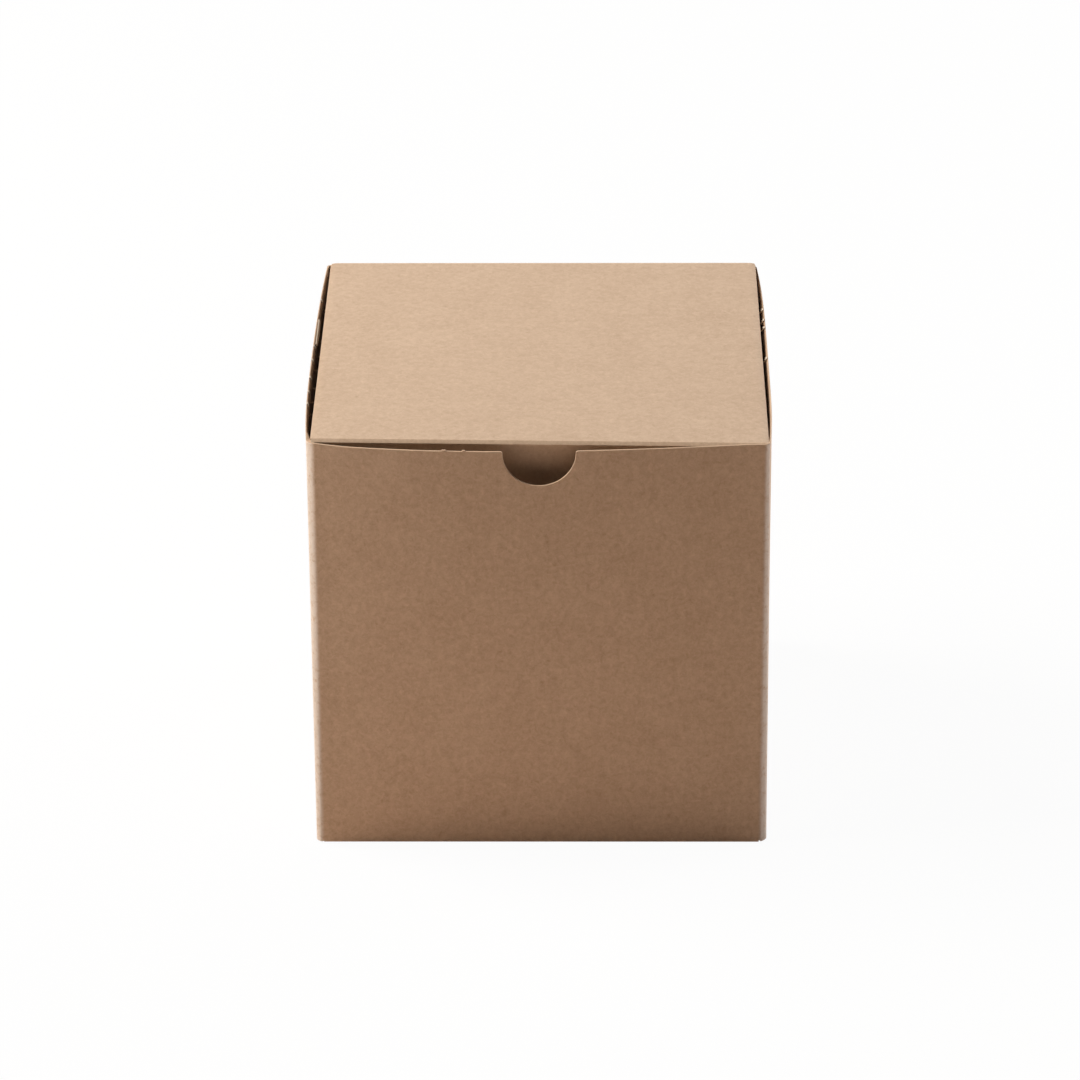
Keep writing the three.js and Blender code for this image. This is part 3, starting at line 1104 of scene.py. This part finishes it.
    def cut_notch(self, board: Board) -> None:
        """Cut the thumb notch and round its two lips.

        Args:
            board: the thick sleeve.
        """
        shoulder = FRONT_RIM - self.notch_lip
        fall = self.notch_depth - self.notch_lip
        bow = self.front_bow.height
        bpy.ops.object.select_all(action="DESELECT")
        bpy.ops.mesh.primitive_cylinder_add(
            vertices=self.punch_sides,
            radius=1.0,
            depth=1.0,
            location=(0.0, -HALF_DEPTH - bow, shoulder),
            rotation=(math.pi / 2, 0.0, 0.0),
        )
        punch = bpy.context.object
        punch.scale = (self.notch_half, fall, self.punch_reach * bow)
        bpy.ops.object.transform_apply(location=True, rotation=True, scale=True)
        board.apply("BOOLEAN", operation="DIFFERENCE", solver="EXACT", object=punch)
        bpy.data.objects.remove(punch)
        notch_bottom = FRONT_RIM - self.notch_depth
        for face in board.obj.data.polygons:
            x, y, z = face.center
            in_notch = abs(x) < self.notch_half + MARGIN and y < -HALF_DEPTH and z > notch_bottom - MM
            if in_notch and abs(face.normal.y) < SLANTED:
                face.material_index = EDGE_MATERIAL
        with board.editing():
            board.pick_edges(self.is_lip)
            board.round_edges(self.notch_lip, SMALL_CORNER_SEGMENTS, EDGE_MATERIAL)

    def is_lip(self, a: Vector, b: Vector) -> bool:
        """Whether an edge is a corner between the notch and the rim."""
        across = abs(a.y - b.y) > 0.5 * BOARD_THICKNESS and near(a.x, b.x) and near(a.z, b.z)
        return across and near(a.z, FRONT_RIM) and near(abs(a.x), self.notch_half, MARGIN)

    def raise_nicks(self, board: Board) -> None:
        """Leave the two tufts of board that the die's nicks held.

        Args:
            board: the notched sleeve.
        """
        for place, width in zip(self.nick_places, self.nick_widths):
            with board.editing():
                board.pick_faces(
                    lambda middle, normal: normal.z > SQUARE_ON
                    and middle.y < -HALF_DEPTH
                    and abs(middle.x - place) < width / 2
                )
                for bend_x, bend_y, share in self.nick_bends:
                    board.raise_faces((bend_x, bend_y, share * self.nick_height))


@dataclass
class BottomFront:
    """The front flap of the snap-lock bottom, whose tongue slips over the back flap."""

    half_width: float = 49.3 * MM
    root_half: float = 46.3 * MM
    crease_step: float = 0.3 * MM
    edge: float = 5.7 * MM
    taper: float = 6.0 * MM
    corner: float = 4.0 * MM
    tongue_half: float = 17.0 * MM
    tongue_rise: float = 2.4 * MM
    tongue_ramp: float = 8.0 * MM
    tongue_tip: float = 10.0 * MM

    def build(self, palette: Palette) -> bpy.types.Object:
        """Fold and dress the flap.

        Args:
            palette: the shared materials.

        Returns:
            The flap with its fold.
        """
        root = -HALF_DEPTH + BOTTOM_FOLD_RADIUS + self.crease_step
        length = self.edge - root
        middle = (0.0, root + length / 2, 0.0)
        board = Board("bottom_front_board", middle, (2 * self.root_half, length))
        with board.editing():
            board.score(0, [-self.tongue_half, self.tongue_half], lambda middle, normal: True)
            board.pick_edges(
                lambda a, b: near(a.y, self.edge)
                and near(b.y, self.edge)
                and abs(a.x + b.x) < self.tongue_half
            )
            board.draw_out((0.0, self.tongue_ramp, self.tongue_rise))
            board.draw_out((0.0, self.tongue_tip, 0.0))
            board.pick_points(lambda p: p.y > self.edge + self.tongue_ramp + 0.5 * self.tongue_tip)
            board.round_corners(self.corner, CORNER_SEGMENTS)
            board.pick_points(lambda p: near(p.y, self.edge) and abs(p.x) > self.root_half - MM)
            board.squeeze(((self.root_half - self.taper) / self.root_half, 1.0, 1.0))
            board.round_corners(self.corner, CORNER_SEGMENTS)
            board.pick_edges(lambda a, b: near(a.y, root) and near(b.y, root))
            board.draw_out((0.0, -self.crease_step, 0.0))
            board.squeeze((self.half_width / self.root_half, 1.0, 1.0))
            turn_y = root - self.crease_step
            board.curl(-math.pi / 2, (0.0, turn_y, BOTTOM_FOLD_RADIUS), (1.0, 0.0, 0.0))
            board.face_outwards(lambda middle, normal: near(middle.z, 0.0) and normal.z < -SQUARE_ON)
        board.dress(palette.kraft, palette.edge)
        return board.put(Body.CARTON, Slot.BOARD, ["bottom_front_flap", "bottom_front_crease"])


@dataclass
class BottomSide:
    """A side flap of the snap-lock bottom, on the front flap."""

    side: Side
    flare: float
    layer: float = 0.8 * MM
    ramp: float = 3.0 * MM
    length: float = 25.3 * MM
    front: float = -45.3 * MM
    back: float = 44.3 * MM
    taper: float = 12.0 * MM
    corner: float = 4.0 * MM
    crease_front: float = -49.3 * MM
    crease_back: float = 49.3 * MM

    def build(self, palette: Palette) -> bpy.types.Object:
        """Fold and dress the flap.

        Args:
            palette: the shared materials.

        Returns:
            The flap with its fold.
        """
        out = self.side.value
        label = self.side.name.lower()
        root = HALF_WIDTH + self.flare - BOTTOM_FOLD_RADIUS - self.ramp
        tip = root - self.length
        width = self.back - self.front
        middle = (out * (root + tip) / 2, (self.front + self.back) / 2, self.layer)
        board = Board(f"bottom_{label}_board", middle, (self.length, width))
        crease_middle = (self.crease_front + self.crease_back) / 2
        crease_share = (self.crease_back - self.crease_front) / width
        with board.editing():
            board.pick_points(lambda p: near(p.x, out * tip))
            board.squeeze((1.0, 1.0 - 2 * self.taper / width, 1.0), middle)
            board.round_corners(self.corner, CORNER_SEGMENTS)
            board.pick_edges(lambda a, b: near(a.x, out * root) and near(b.x, out * root))
            board.draw_out((out * self.ramp, crease_middle - middle[1], -self.layer))
            board.squeeze((1.0, crease_share, 1.0), (0.0, crease_middle, 0.0))
            turn_x = out * (HALF_WIDTH + self.flare - BOTTOM_FOLD_RADIUS)
            board.curl(-out * math.pi / 2, (turn_x, 0.0, BOTTOM_FOLD_RADIUS), (0.0, 1.0, 0.0))
            board.face_outwards(
                lambda middle, normal: near(middle.z, self.layer) and normal.z < -SQUARE_ON
            )
        board.dress(palette.kraft, palette.edge)
        return board.put(Body.CARTON, Slot.BOARD, [f"bottom_{label}_flap", f"bottom_{label}_crease"])


@dataclass
class BottomBack:
    """The back flap of the snap-lock bottom, with the slot for the front flap's tongue."""

    layer: float = 1.6 * MM
    ramp: float = 5.0 * MM
    crease_half: float = 50.2 * MM
    half_width: float = 50.1 * MM
    edge: float = 0.3 * MM
    taper: float = 6.0 * MM
    corner: float = 4.0 * MM
    slot_half: float = 18.5 * MM
    slot_end: float = 15.2 * MM
    slot_corner: float = 1.5 * MM

    def build(self, palette: Palette) -> bpy.types.Object:
        """Fold, slot and dress the flap.

        Args:
            palette: the shared materials.

        Returns:
            The flap with its fold.
        """
        root = HALF_DEPTH - BOTTOM_FOLD_RADIUS - self.ramp
        length = root - self.edge
        middle = (0.0, self.edge + length / 2, self.layer)
        board = Board("bottom_back_board", middle, (2 * self.half_width, length))
        with board.editing():
            board.score(0, [-self.slot_half, self.slot_half], lambda middle, normal: True)
            board.score(1, [self.slot_end], lambda middle, normal: abs(middle.x) < self.slot_half)
            board.pick_faces(
                lambda middle, normal: abs(middle.x) < self.slot_half and middle.y < self.slot_end
            )
            bpy.ops.mesh.delete(type="FACE")
            board.pick_points(
                lambda p: near(abs(p.x), self.slot_half) and p.y < self.slot_end + MARGIN
            )
            board.round_corners(self.slot_corner, SMALL_CORNER_SEGMENTS)
            board.pick_points(lambda p: near(p.y, self.edge) and near(abs(p.x), self.half_width))
            board.squeeze(((self.half_width - self.taper) / self.half_width, 1.0, 1.0))
            board.round_corners(self.corner, CORNER_SEGMENTS)
            board.pick_edges(lambda a, b: near(a.y, root) and near(b.y, root))
            board.draw_out((0.0, self.ramp, -self.layer))
            board.squeeze((self.crease_half / self.half_width, 1.0, 1.0))
            turn_y = HALF_DEPTH - BOTTOM_FOLD_RADIUS
            board.curl(math.pi / 2, (0.0, turn_y, BOTTOM_FOLD_RADIUS), (1.0, 0.0, 0.0))
            board.face_outwards(
                lambda middle, normal: near(middle.z, self.layer) and normal.z < -SQUARE_ON
            )
        board.dress(palette.kraft, palette.edge)
        return board.put(Body.CARTON, Slot.BOARD, ["bottom_back_flap", "bottom_back_crease"])


@dataclass
class Lid:
    """The lid, its fold on the back wall, and the tuck flap behind the front wall."""

    left: float = -50.2 * MM
    right: float = 50.13 * MM
    right_flare: float = 0.2 * MM
    flare_share: float = 0.8
    grid_half: float = 40.0 * MM
    grid_lines: int = 9
    fold_left: float = -50.0 * MM
    fold_right: float = 49.95 * MM
    tuck_half: float = 48.8 * MM
    twist: float = 0.6 * MM
    sag: float = 0.2 * MM
    front: float = -48.9 * MM
    back: float = 49.7 * MM
    droop: float = 0.24 * MM
    droop_run: float = 1.8 * MM
    droop_start: float = 0.3 * MM
    droop_lines: int = 6
    back_radius: float = 0.6 * MM
    band_start: float = -49.2 * MM
    band_run: float = 0.9 * MM
    band_drop: float = 0.63 * MM
    band_softness: float = 0.14 * MM
    band_segments: int = 3
    tuck_pivot_y: float = -49.65 * MM
    tuck_pivot_z: float = 99.75 * MM
    tuck_tilt: float = math.radians(8)
    tuck_start: float = 0.75 * MM
    tuck_length: float = 20.0 * MM
    tuck_tip_half: float = 39.8 * MM
    tuck_corner: float = 8.0 * MM
    tuck_recess: float = 0.22 * MM
    tuck_recess_run: float = 1.4 * MM
    tuck_recess_from: float = 0.3 * MM
    tuck_recess_to: float = 6.0 * MM
    tuck_recess_lines: int = 16

    def tuck_point(self, along: float) -> tuple[float, float]:
        """Where the tuck flap's outside is.

        Args:
            along: distance from the fold line towards the tip.

        Returns:
            Its y and z.
        """
        lean, drop = math.sin(self.tuck_tilt), math.cos(self.tuck_tilt)
        half = BOARD_THICKNESS / 2
        y = self.tuck_pivot_y - half * drop + along * lean
        z = self.tuck_pivot_z - half * lean - along * drop
        return y, z

    def build_panel(self, palette: Palette) -> bpy.types.Object:
        """Lay the lid, with its side edges curling down a little.

        Args:
            palette: the shared materials.

        Returns:
            The lid.
        """
        middle = ((self.left + self.right) / 2, (self.front + self.back) / 2, LID_TOP)
        board = Board("lid_board", middle, (self.right - self.left, self.back - self.front))
        grid = spread(-self.grid_half, self.grid_half, self.grid_lines)
        with board.editing():
            board.score(0, self.curl_lines() + grid, lambda middle, normal: True)
            board.score(1, grid, lambda middle, normal: True)
        board.reshape(self.curled)
        board.reshape(self.twisted)
        board.paint(palette.kraft, palette.edge)
        board.thicken()
        board.soften_cuts(lambda middle: middle.x < self.left + MM or middle.x > self.right - MM)
        board.smooth()
        return board.put(Body.LID, Slot.BOARD, ["lid_panel"])

    def curl_lines(self) -> list[float]:
        """Where the lid is cut for its side edges to curl."""
        steps = spread(self.droop_start, self.droop_run, self.droop_lines)
        return [self.left + step for step in steps] + [self.right - step for step in steps]

    def curled(self, point: Vector) -> Vector:
        """Curl the lid's side edges down.

        Args:
            point: a point of the flat lid or of its back fold.

        Returns:
            Its place on the curled lid.
        """
        inside = min(point.x - self.left, self.right - point.x)
        share = max(self.droop_run - inside, 0.0) / self.droop_run
        sink = self.droop * share**2 * smooth_share(point.z, BACK_RIM, LID_TOP)
        return point - Vector((0.0, 0.0, sink))

    def twisted(self, point: Vector) -> Vector:
        """Lift the lid's front left corner, and sink and spread its front right one.

        Args:
            point: a point of the level lid or tuck flap.

        Returns:
            Its place on the twisted lid.
        """
        ahead = (self.back - max(point.y, self.front)) / (self.back - self.front)
        outwards = smooth_share(point.x, self.flare_share * self.right, self.right)
        wider = self.right_flare * ahead * outwards
        return point + Vector((wider, 0.0, -ahead * (self.sag + self.twist * point.x / self.right)))

    def recessed(self, point: Vector) -> Vector:
        """Draw the tuck flap in under its fold.

        Args:
            point: a point of the flat tuck flap.

        Returns:
            Its place on the bent flap.
        """
        below = max(self.tuck_point(self.tuck_start)[1] - point.z, 0.0)
        share = 1.0 - math.exp(-below / self.tuck_recess_run)
        return point + Vector((0.0, self.tuck_recess * share, 0.0))

    def build_back_fold(self, palette: Palette) -> bpy.types.Object:
        """Bend the fold between the back wall and the lid.

        Args:
            palette: the shared materials.

        Returns:
            The fold.
        """
        turn_y = HALF_DEPTH - self.back_radius
        run = turn_y - self.back
        middle = ((self.fold_left + self.fold_right) / 2, self.back + run / 2, LID_TOP)
        board = Board("lid_fold", middle, (self.fold_right - self.fold_left, run))
        with board.editing():
            board.score(0, self.curl_lines(), lambda middle, normal: True)
            board.pick_edges(lambda a, b: near(a.y, turn_y) and near(b.y, turn_y))
            board.curl(-math.pi / 2, (0.0, turn_y, LID_TOP - self.back_radius), (1.0, 0.0, 0.0))
            board.face_outwards(lambda middle, normal: near(middle.z, LID_TOP) and normal.z > SQUARE_ON)
        board.reshape(self.curled)
        board.dress(palette.fold, palette.edge)
        start = (0.0, HALF_DEPTH - BOARD_THICKNESS, BACK_RIM)
        end = (0.0, turn_y, LID_TOP - BOARD_THICKNESS)
        return board.hinge((Body.CARTON, Body.LID), start, end, ["lid_crease"])

    def build_tuck_fold(self, palette: Palette) -> bpy.types.Object:
        """Bend the flat-topped fold between the lid and the tuck flap.

        Args:
            palette: the shared materials.

        Returns:
            The fold.
        """
        run = self.front - self.band_start
        middle = ((self.fold_left + self.fold_right) / 2, self.front - run / 2, LID_TOP)
        board = Board("tuck_fold", middle, (self.fold_right - self.fold_left, run))
        band_y, band_z = self.band_start - self.band_run, LID_TOP - self.band_drop
        fold_half = (self.fold_right - self.fold_left) / 2
        end_y, end_z = self.tuck_point(self.tuck_start)
        with board.editing():
            board.pick_edges(lambda a, b: near(a.y, self.band_start) and near(b.y, self.band_start))
            board.draw_out((0.0, band_y - self.band_start, band_z - LID_TOP))
            board.draw_out((0.0, end_y - band_y, end_z - band_z))
            board.squeeze((self.tuck_half / fold_half, 1.0, 1.0))
            board.pick_edges(
                lambda a, b: (near(a.z, band_z) and near(b.z, band_z))
                or (near(a.y, self.band_start) and near(b.y, self.band_start))
            )
            board.round_edges(self.band_softness, self.band_segments)
            board.face_outwards(lambda middle, normal: near(middle.z, LID_TOP) and normal.z > SQUARE_ON)
        board.reshape(self.twisted)
        board.dress(palette.fold, palette.edge)
        inner_y = end_y + BOARD_THICKNESS * math.cos(self.tuck_tilt)
        inner_z = end_z + BOARD_THICKNESS * math.sin(self.tuck_tilt)
        start = (0.0, self.front, LID_TOP - BOARD_THICKNESS)
        return board.hinge((Body.LID, Body.TUCK), start, (0.0, inner_y, inner_z), ["tuck_crease"])

    def build_tuck(self, palette: Palette) -> bpy.types.Object:
        """Cut the tuck flap and slip it behind the front wall.

        Args:
            palette: the shared materials.

        Returns:
            The tuck flap.
        """
        length = self.tuck_length - self.tuck_start
        middle = (0.0, *self.tuck_point(self.tuck_start + length / 2))
        turn = (self.tuck_tilt - math.pi / 2, 0.0, 0.0)
        board = Board("tuck_board", middle, (2 * self.tuck_half, length), turn)
        tip_z = self.tuck_point(self.tuck_length)[1]
        steps = spread(self.tuck_recess_from, self.tuck_recess_to, self.tuck_recess_lines)
        rows = [self.tuck_point(self.tuck_start + step)[1] for step in steps]
        with board.editing():
            board.pick_points(lambda p: near(p.z, tip_z))
            board.squeeze((self.tuck_tip_half / self.tuck_half, 1.0, 1.0))
            board.round_corners(self.tuck_corner, LARGE_CORNER_SEGMENTS)
            board.score(2, rows, lambda middle, normal: True)
            board.face_outwards(lambda middle, normal: normal.y < -SQUARE_ON)
        board.reshape(self.recessed)
        board.reshape(self.twisted)
        board.paint(palette.kraft, palette.edge)
        board.thicken()
        board.soften_cuts(lambda middle: middle.z < self.tuck_point(self.tuck_start)[1] - MM)
        board.smooth()
        return board.put(Body.TUCK, Slot.BOARD, ["tuck_flap"])


@dataclass(frozen=True)
class Tie:
    """One bridge of board in a dust flap's perforated fold."""

    place: float
    width: float
    crown: float = 0.24 * MM
    inset: float = 0.0


@dataclass
class DustFlap:
    """A dust flap under the lid, on the perforated fold along a side wall's top edge."""

    side: Side
    ties: Sequence[Tie]
    pivot_x: float = 50.55 * MM
    pivot_z: float = 99.25 * MM
    droop: float = math.radians(40)
    root: float = 0.93 * MM
    length: float = 42.0 * MM
    front: float = -45.8 * MM
    back: float = 47.8 * MM
    tip_inset: float = 9.0 * MM
    corner: float = 7.0 * MM
    tie_thickness: float = 0.3 * MM
    tie_root: float = 0.4 * MM
    tie_bend: float = 0.7 * MM
    tie_insets: Sequence[float] = (0.05 * MM, 0.10 * MM, 0.32 * MM, 0.60 * MM)
    tie_foot: float = -0.08 * MM
    tie_shoulder: float = 0.8
    tie_fall: float = 0.5 * MM
    tail_width: float = 0.25 * MM
    tail_reach: float = 4.0 * MM
    tail_step: float = 0.05 * MM
    tail_hook: float = 0.3 * MM
    tail_sink: float = 0.1 * MM

    def body(self) -> Body:
        """The body that the flap is."""
        return Body.LEFT_DUST if self.side is Side.LEFT else Body.RIGHT_DUST

    def flap_point(self, along: float) -> tuple[float, float]:
        """Where the middle of the flap's board is.

        Args:
            along: distance from the fold line towards the tip.

        Returns:
            Its x and z.
        """
        x = self.side.value * (self.pivot_x - along * math.cos(self.droop))
        return x, self.pivot_z - along * math.sin(self.droop)

    def build(self, palette: Palette) -> bpy.types.Object:
        """Cut the flap and let it droop into the box.

        Args:
            palette: the shared materials.

        Returns:
            The flap.
        """
        label = self.side.name.lower()
        length = self.length - self.root
        width = self.back - self.front
        x, z = self.flap_point(self.root + length / 2)
        middle = (x, (self.front + self.back) / 2, z)
        turn = (0.0, -self.side.value * self.droop, 0.0)
        board = Board(f"{label}_dust_board", middle, (length, width), turn)
        tip_x = self.flap_point(self.length)[0]
        with board.editing():
            board.pick_points(lambda p: near(p.x, tip_x))
            board.squeeze((1.0, 1.0 - 2 * self.tip_inset / width, 1.0), middle)
            board.round_corners(self.corner, LARGE_CORNER_SEGMENTS)
            board.face_outwards(lambda middle, normal: normal.z > SLANTED)
        board.paint(palette.kraft, palette.edge)
        board.thicken(0.0)
        board.soften_cuts(lambda middle: True)
        board.smooth()
        return board.put(self.body(), Slot.BOARD, [f"{label}_dust_flap"])

    def build_ties(self, palette: Palette, sleeve: Sleeve) -> bpy.types.Object:
        """Bend the ties that hold the flap between the perforation's cuts.

        Args:
            palette: the shared materials.
            sleeve: the sleeve that they are part of.

        Returns:
            All ties of the flap.
        """
        label = self.side.name.lower()
        made = [self.bent_tie(tie, sleeve) for tie in self.ties]
        board = made[0]
        bpy.ops.object.select_all(action="DESELECT")
        for tie in made:
            tie.obj.select_set(True)
        bpy.context.view_layer.objects.active = board.obj
        bpy.ops.object.join()
        board.obj.name = f"{label}_dust_ties"
        board.obj.data.name = board.obj.name
        board.paint(palette.torn, palette.torn)
        board.apply(
            "SOLIDIFY",
            thickness=self.tie_thickness,
            offset=-1.0,
            material_offset_rim=EDGE_MATERIAL,
        )
        board.smooth()
        start = (self.side.value * (self.pivot_x + self.tie_root), 0.0, self.pivot_z)
        end = (self.side.value * (self.pivot_x - self.tie_bend), 0.0, self.pivot_z)
        return board.hinge((Body.CARTON, self.body()), start, end, [])

    def bent_tie(self, tie: Tie, sleeve: Sleeve) -> Board:
        """Bend one tie from the wall's top edge over to the flap's root.

        Args:
            tie: its place and size.
            sleeve: the sleeve that it is part of.

        Returns:
            The tie's outside.
        """
        out = self.side.value
        face = out * sleeve.side_face(self.side, tie.place) - tie.inset
        rim = sleeve.rim(out * face, tie.place) - tie.inset
        rises = (self.tie_foot, tie.crown, self.tie_shoulder * tie.crown, tie.crown - self.tie_fall)
        line = [(face - inward, rim + rise) for inward, rise in zip(self.tie_insets, rises)]
        step = (line[1][0] - line[0][0], line[1][1] - line[0][1])
        middle = (out * (line[0][0] + step[0] / 2), tie.place, line[0][1] + step[1] / 2)
        slope = math.atan2(step[1], out * step[0])
        board = Board("dust_tie", middle, (math.hypot(*step), tie.width), (0.0, -slope, 0.0))
        end_x, end_z = self.flap_point(self.tail_reach)
        end = (out * end_x, end_z - self.tail_sink)
        tail = (line[-1][0] - self.tail_step, line[-1][1] - self.tail_step)
        top = line[1][1]
        with board.editing():
            board.pick_edges(lambda a, b: near(a.z, top) and near(b.z, top))
            for before, after in zip(line[1:], line[2:]):
                board.draw_out((out * (after[0] - before[0]), 0.0, after[1] - before[1]))
            board.draw_out((-out * self.tail_step, 0.0, -self.tail_step))
            board.squeeze((1.0, self.tail_width / tie.width, 1.0), (0.0, tie.place, 0.0))
            board.draw_out((-out * self.tail_step, 0.0, end[1] + self.tail_hook - tail[1]))
            board.draw_out((out * (end[0] - tail[0] + self.tail_step), 0.0, -self.tail_hook))
            board.face_outwards(lambda middle, normal: normal.z > SLANTED)
        return board


@dataclass
class Lamp:
    """A soft rectangular studio lamp."""

    name: str
    place: Sequence[float]
    size: tuple[float, float]
    power: float
    colour: Colour = (1.0, 1.0, 1.0)
    aim: Sequence[float] = (0.0, 0.0, 0.05)

    def build(self) -> bpy.types.Object:
        """Hang the lamp.

        Returns:
            The lamp's object.
        """
        data = bpy.data.lights.new(self.name, "AREA")
        data.shape = "RECTANGLE"
        data.size, data.size_y = self.size
        data.energy = self.power
        data.color = self.colour
        lamp = bpy.data.objects.new(self.name, data)
        bpy.context.scene.collection.objects.link(lamp)
        lamp.location = self.place
        beam = Vector(self.aim) - Vector(self.place)
        lamp.rotation_euler = beam.to_track_quat("-Z", "Y").to_euler()
        return lamp


@dataclass
class Studio:
    """A white floor, soft lamps and a pale room."""

    floor_size: float = 8.0
    floor_level: float = -0.05 * MM
    floor_white: Colour = (0.86, 0.86, 0.86)
    bounce_colour: Colour = (0.96, 0.785, 0.68)
    shadow_share: float = 0.045
    room_colour: Colour = (1.0, 0.97, 0.94)
    room_strength: float = 0.01
    view_colour: Colour = (1.0, 1.0, 1.0)
    view_strength: float = 1.0
    lamps: Sequence[Lamp] = (
        Lamp("key_lamp", (-0.9, 0.12, 0.98), (0.8, 0.7), power=21.0, colour=(1.0, 0.945, 0.86)),
        Lamp("left_lamp", (-1.15, 0.25, 0.45), (0.8, 0.7), power=3.0),
        Lamp("right_lamp", (1.2, 0.35, 0.3), (0.8, 0.5), power=6.6),
        Lamp("back_lamp", (1.0, 0.6, 0.5), (0.6, 0.5), power=5.0),
    )

    def build(self) -> None:
        """Lay the floor, hang the lamps and light the room."""
        self.build_floor()
        for lamp in self.lamps:
            lamp.build()
        self.build_room()
        bpy.context.scene.view_settings.view_transform = "Standard"

    @staticmethod
    def seen(nodes: NodeBoard) -> Wire:
        """1 on rays that show the background: from the camera, or by way of a mirror or glass."""
        path = nodes.add("ShaderNodeLightPath", output="Is Camera Ray")
        outputs = path.socket.node.outputs
        mirror = nodes.math("MAXIMUM", path, Wire(nodes, outputs["Is Glossy Ray"]))
        return nodes.math("MAXIMUM", mirror, Wire(nodes, outputs["Is Transmission Ray"]))

    def view(self) -> dict:
        """The inputs of a shader that shows the background's white."""
        return {"Color": (*self.view_colour, 1.0), "Strength": self.view_strength}

    def build_floor(self) -> None:
        """Lay a white floor that keeps a faint shadow."""
        bpy.ops.object.select_all(action="DESELECT")
        bpy.ops.mesh.primitive_plane_add(size=self.floor_size, location=(0.0, 0.0, self.floor_level))
        floor = bpy.context.object
        floor.name = "studio_floor"
        material = bpy.data.materials.new("studio_white")
        material.use_nodes = True
        nodes = NodeBoard(material.node_tree)
        seen = self.seen(nodes)
        colour = nodes.blend(seen, self.bounce_colour, self.floor_white)
        paper = nodes.add("ShaderNodeBsdfDiffuse", None, {0: colour})
        glow = nodes.add("ShaderNodeEmission", None, self.view())
        share = (1.0 - self.shadow_share) * seen
        shader = nodes.add("ShaderNodeMixShader", None, {0: share, 1: paper, 2: glow})
        nodes.add("ShaderNodeOutputMaterial", None, {"Surface": shader})
        floor.data.materials.append(material)

    def build_room(self) -> None:
        """Fill the room with soft light behind a white view."""
        world = bpy.data.worlds.new("studio_room")
        world.use_nodes = True
        bpy.context.scene.world = world
        nodes = NodeBoard(world.node_tree)
        inputs = {"Color": (*self.room_colour, 1.0), "Strength": self.room_strength}
        room = nodes.add("ShaderNodeBackground", None, inputs)
        white = nodes.add("ShaderNodeBackground", None, self.view())
        shader = nodes.add("ShaderNodeMixShader", None, {0: self.seen(nodes), 1: room, 2: white})
        nodes.add("ShaderNodeOutputWorld", None, {"Surface": shader})


@dataclass
class PhotoCamera:
    """A long lens in front of the box, looking down on it."""

    place: Sequence[float] = (11.54 * MM, -1056.22 * MM, 565.31 * MM)
    lens: float = 169.08
    sensor: float = 36.0
    pitch: float = math.radians(25.932)
    yaw: float = math.radians(-0.654)
    roll: float = math.radians(-0.296)
    nearest: float = 0.05
    farthest: float = 20.0

    def build(self) -> bpy.types.Object:
        """Set up the camera.

        Returns:
            The camera's object.
        """
        data = bpy.data.cameras.new("photo_camera")
        data.lens = self.lens
        data.sensor_width = self.sensor
        data.clip_start = self.nearest
        data.clip_end = self.farthest
        camera = bpy.data.objects.new("photo_camera", data)
        bpy.context.scene.collection.objects.link(camera)
        level = math.cos(self.pitch)
        ahead = Vector((math.sin(self.yaw) * level, math.cos(self.yaw) * level, -math.sin(self.pitch)))
        right = Vector((math.cos(self.yaw), -math.sin(self.yaw), 0.0))
        up = right.cross(ahead)
        turned_right = math.cos(self.roll) * right + math.sin(self.roll) * up
        turned_up = math.cos(self.roll) * up - math.sin(self.roll) * right
        turn = Matrix((turned_right, turned_up, -ahead)).transposed().to_4x4()
        camera.matrix_world = Matrix.Translation(Vector(self.place)) @ turn
        bpy.context.scene.camera = camera
        return camera


LEFT_TIES = (
    Tie(-29.0 * MM, 1.2 * MM),
    Tie(-22.5 * MM, 1.2 * MM),
    Tie(-14.7 * MM, 1.1 * MM),
    Tie(-5.0 * MM, 1.0 * MM),
    Tie(2.8 * MM, 1.1 * MM),
    Tie(11.5 * MM, 14.0 * MM, 0.25 * MM, 0.35 * MM),
    Tie(29.5 * MM, 1.0 * MM),
)
RIGHT_TIES = (
    Tie(-2.8 * MM, 1.0 * MM, 0.3 * MM, 0.15 * MM),
    Tie(14.6 * MM, 1.0 * MM, 0.3 * MM, 0.15 * MM),
    Tie(19.0 * MM, 1.2 * MM, 0.3 * MM, 0.15 * MM),
    Tie(25.0 * MM, 1.2 * MM, 0.3 * MM, 0.15 * MM),
)


def main() -> None:
    """Build the carton piece by piece and set it in the studio."""
    logging.basicConfig(level=logging.INFO, format="%(name)s: %(message)s")
    PhotoCamera().build()
    Studio().build()
    palette = Palette.mixed()
    sleeve = Sleeve()
    lid = Lid()
    left = DustFlap(Side.LEFT, LEFT_TIES)
    right = DustFlap(Side.RIGHT, RIGHT_TIES, tail_reach=2.0 * MM, tie_bend=1.5 * MM)
    pieces = [
        sleeve.build(palette),
        BottomFront().build(palette),
        BottomSide(Side.LEFT, sleeve.left_flare).build(palette),
        BottomSide(Side.RIGHT, sleeve.right_flare, crease_back=48.6 * MM).build(palette),
        BottomBack().build(palette),
        lid.build_panel(palette),
        lid.build_back_fold(palette),
        lid.build_tuck_fold(palette),
        lid.build_tuck(palette),
        left.build(palette),
        left.build_ties(palette, sleeve),
        right.build(palette),
        right.build_ties(palette, sleeve),
    ]
    glue_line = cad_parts["glue_seam"]
    glue_line.data.materials.clear()
    glue_line.data.materials.append(palette.glue)
    for piece in pieces:
        log.info("%s: %d faces", piece.name, len(piece.data.polygons))


if __name__ == "__main__":
    main()
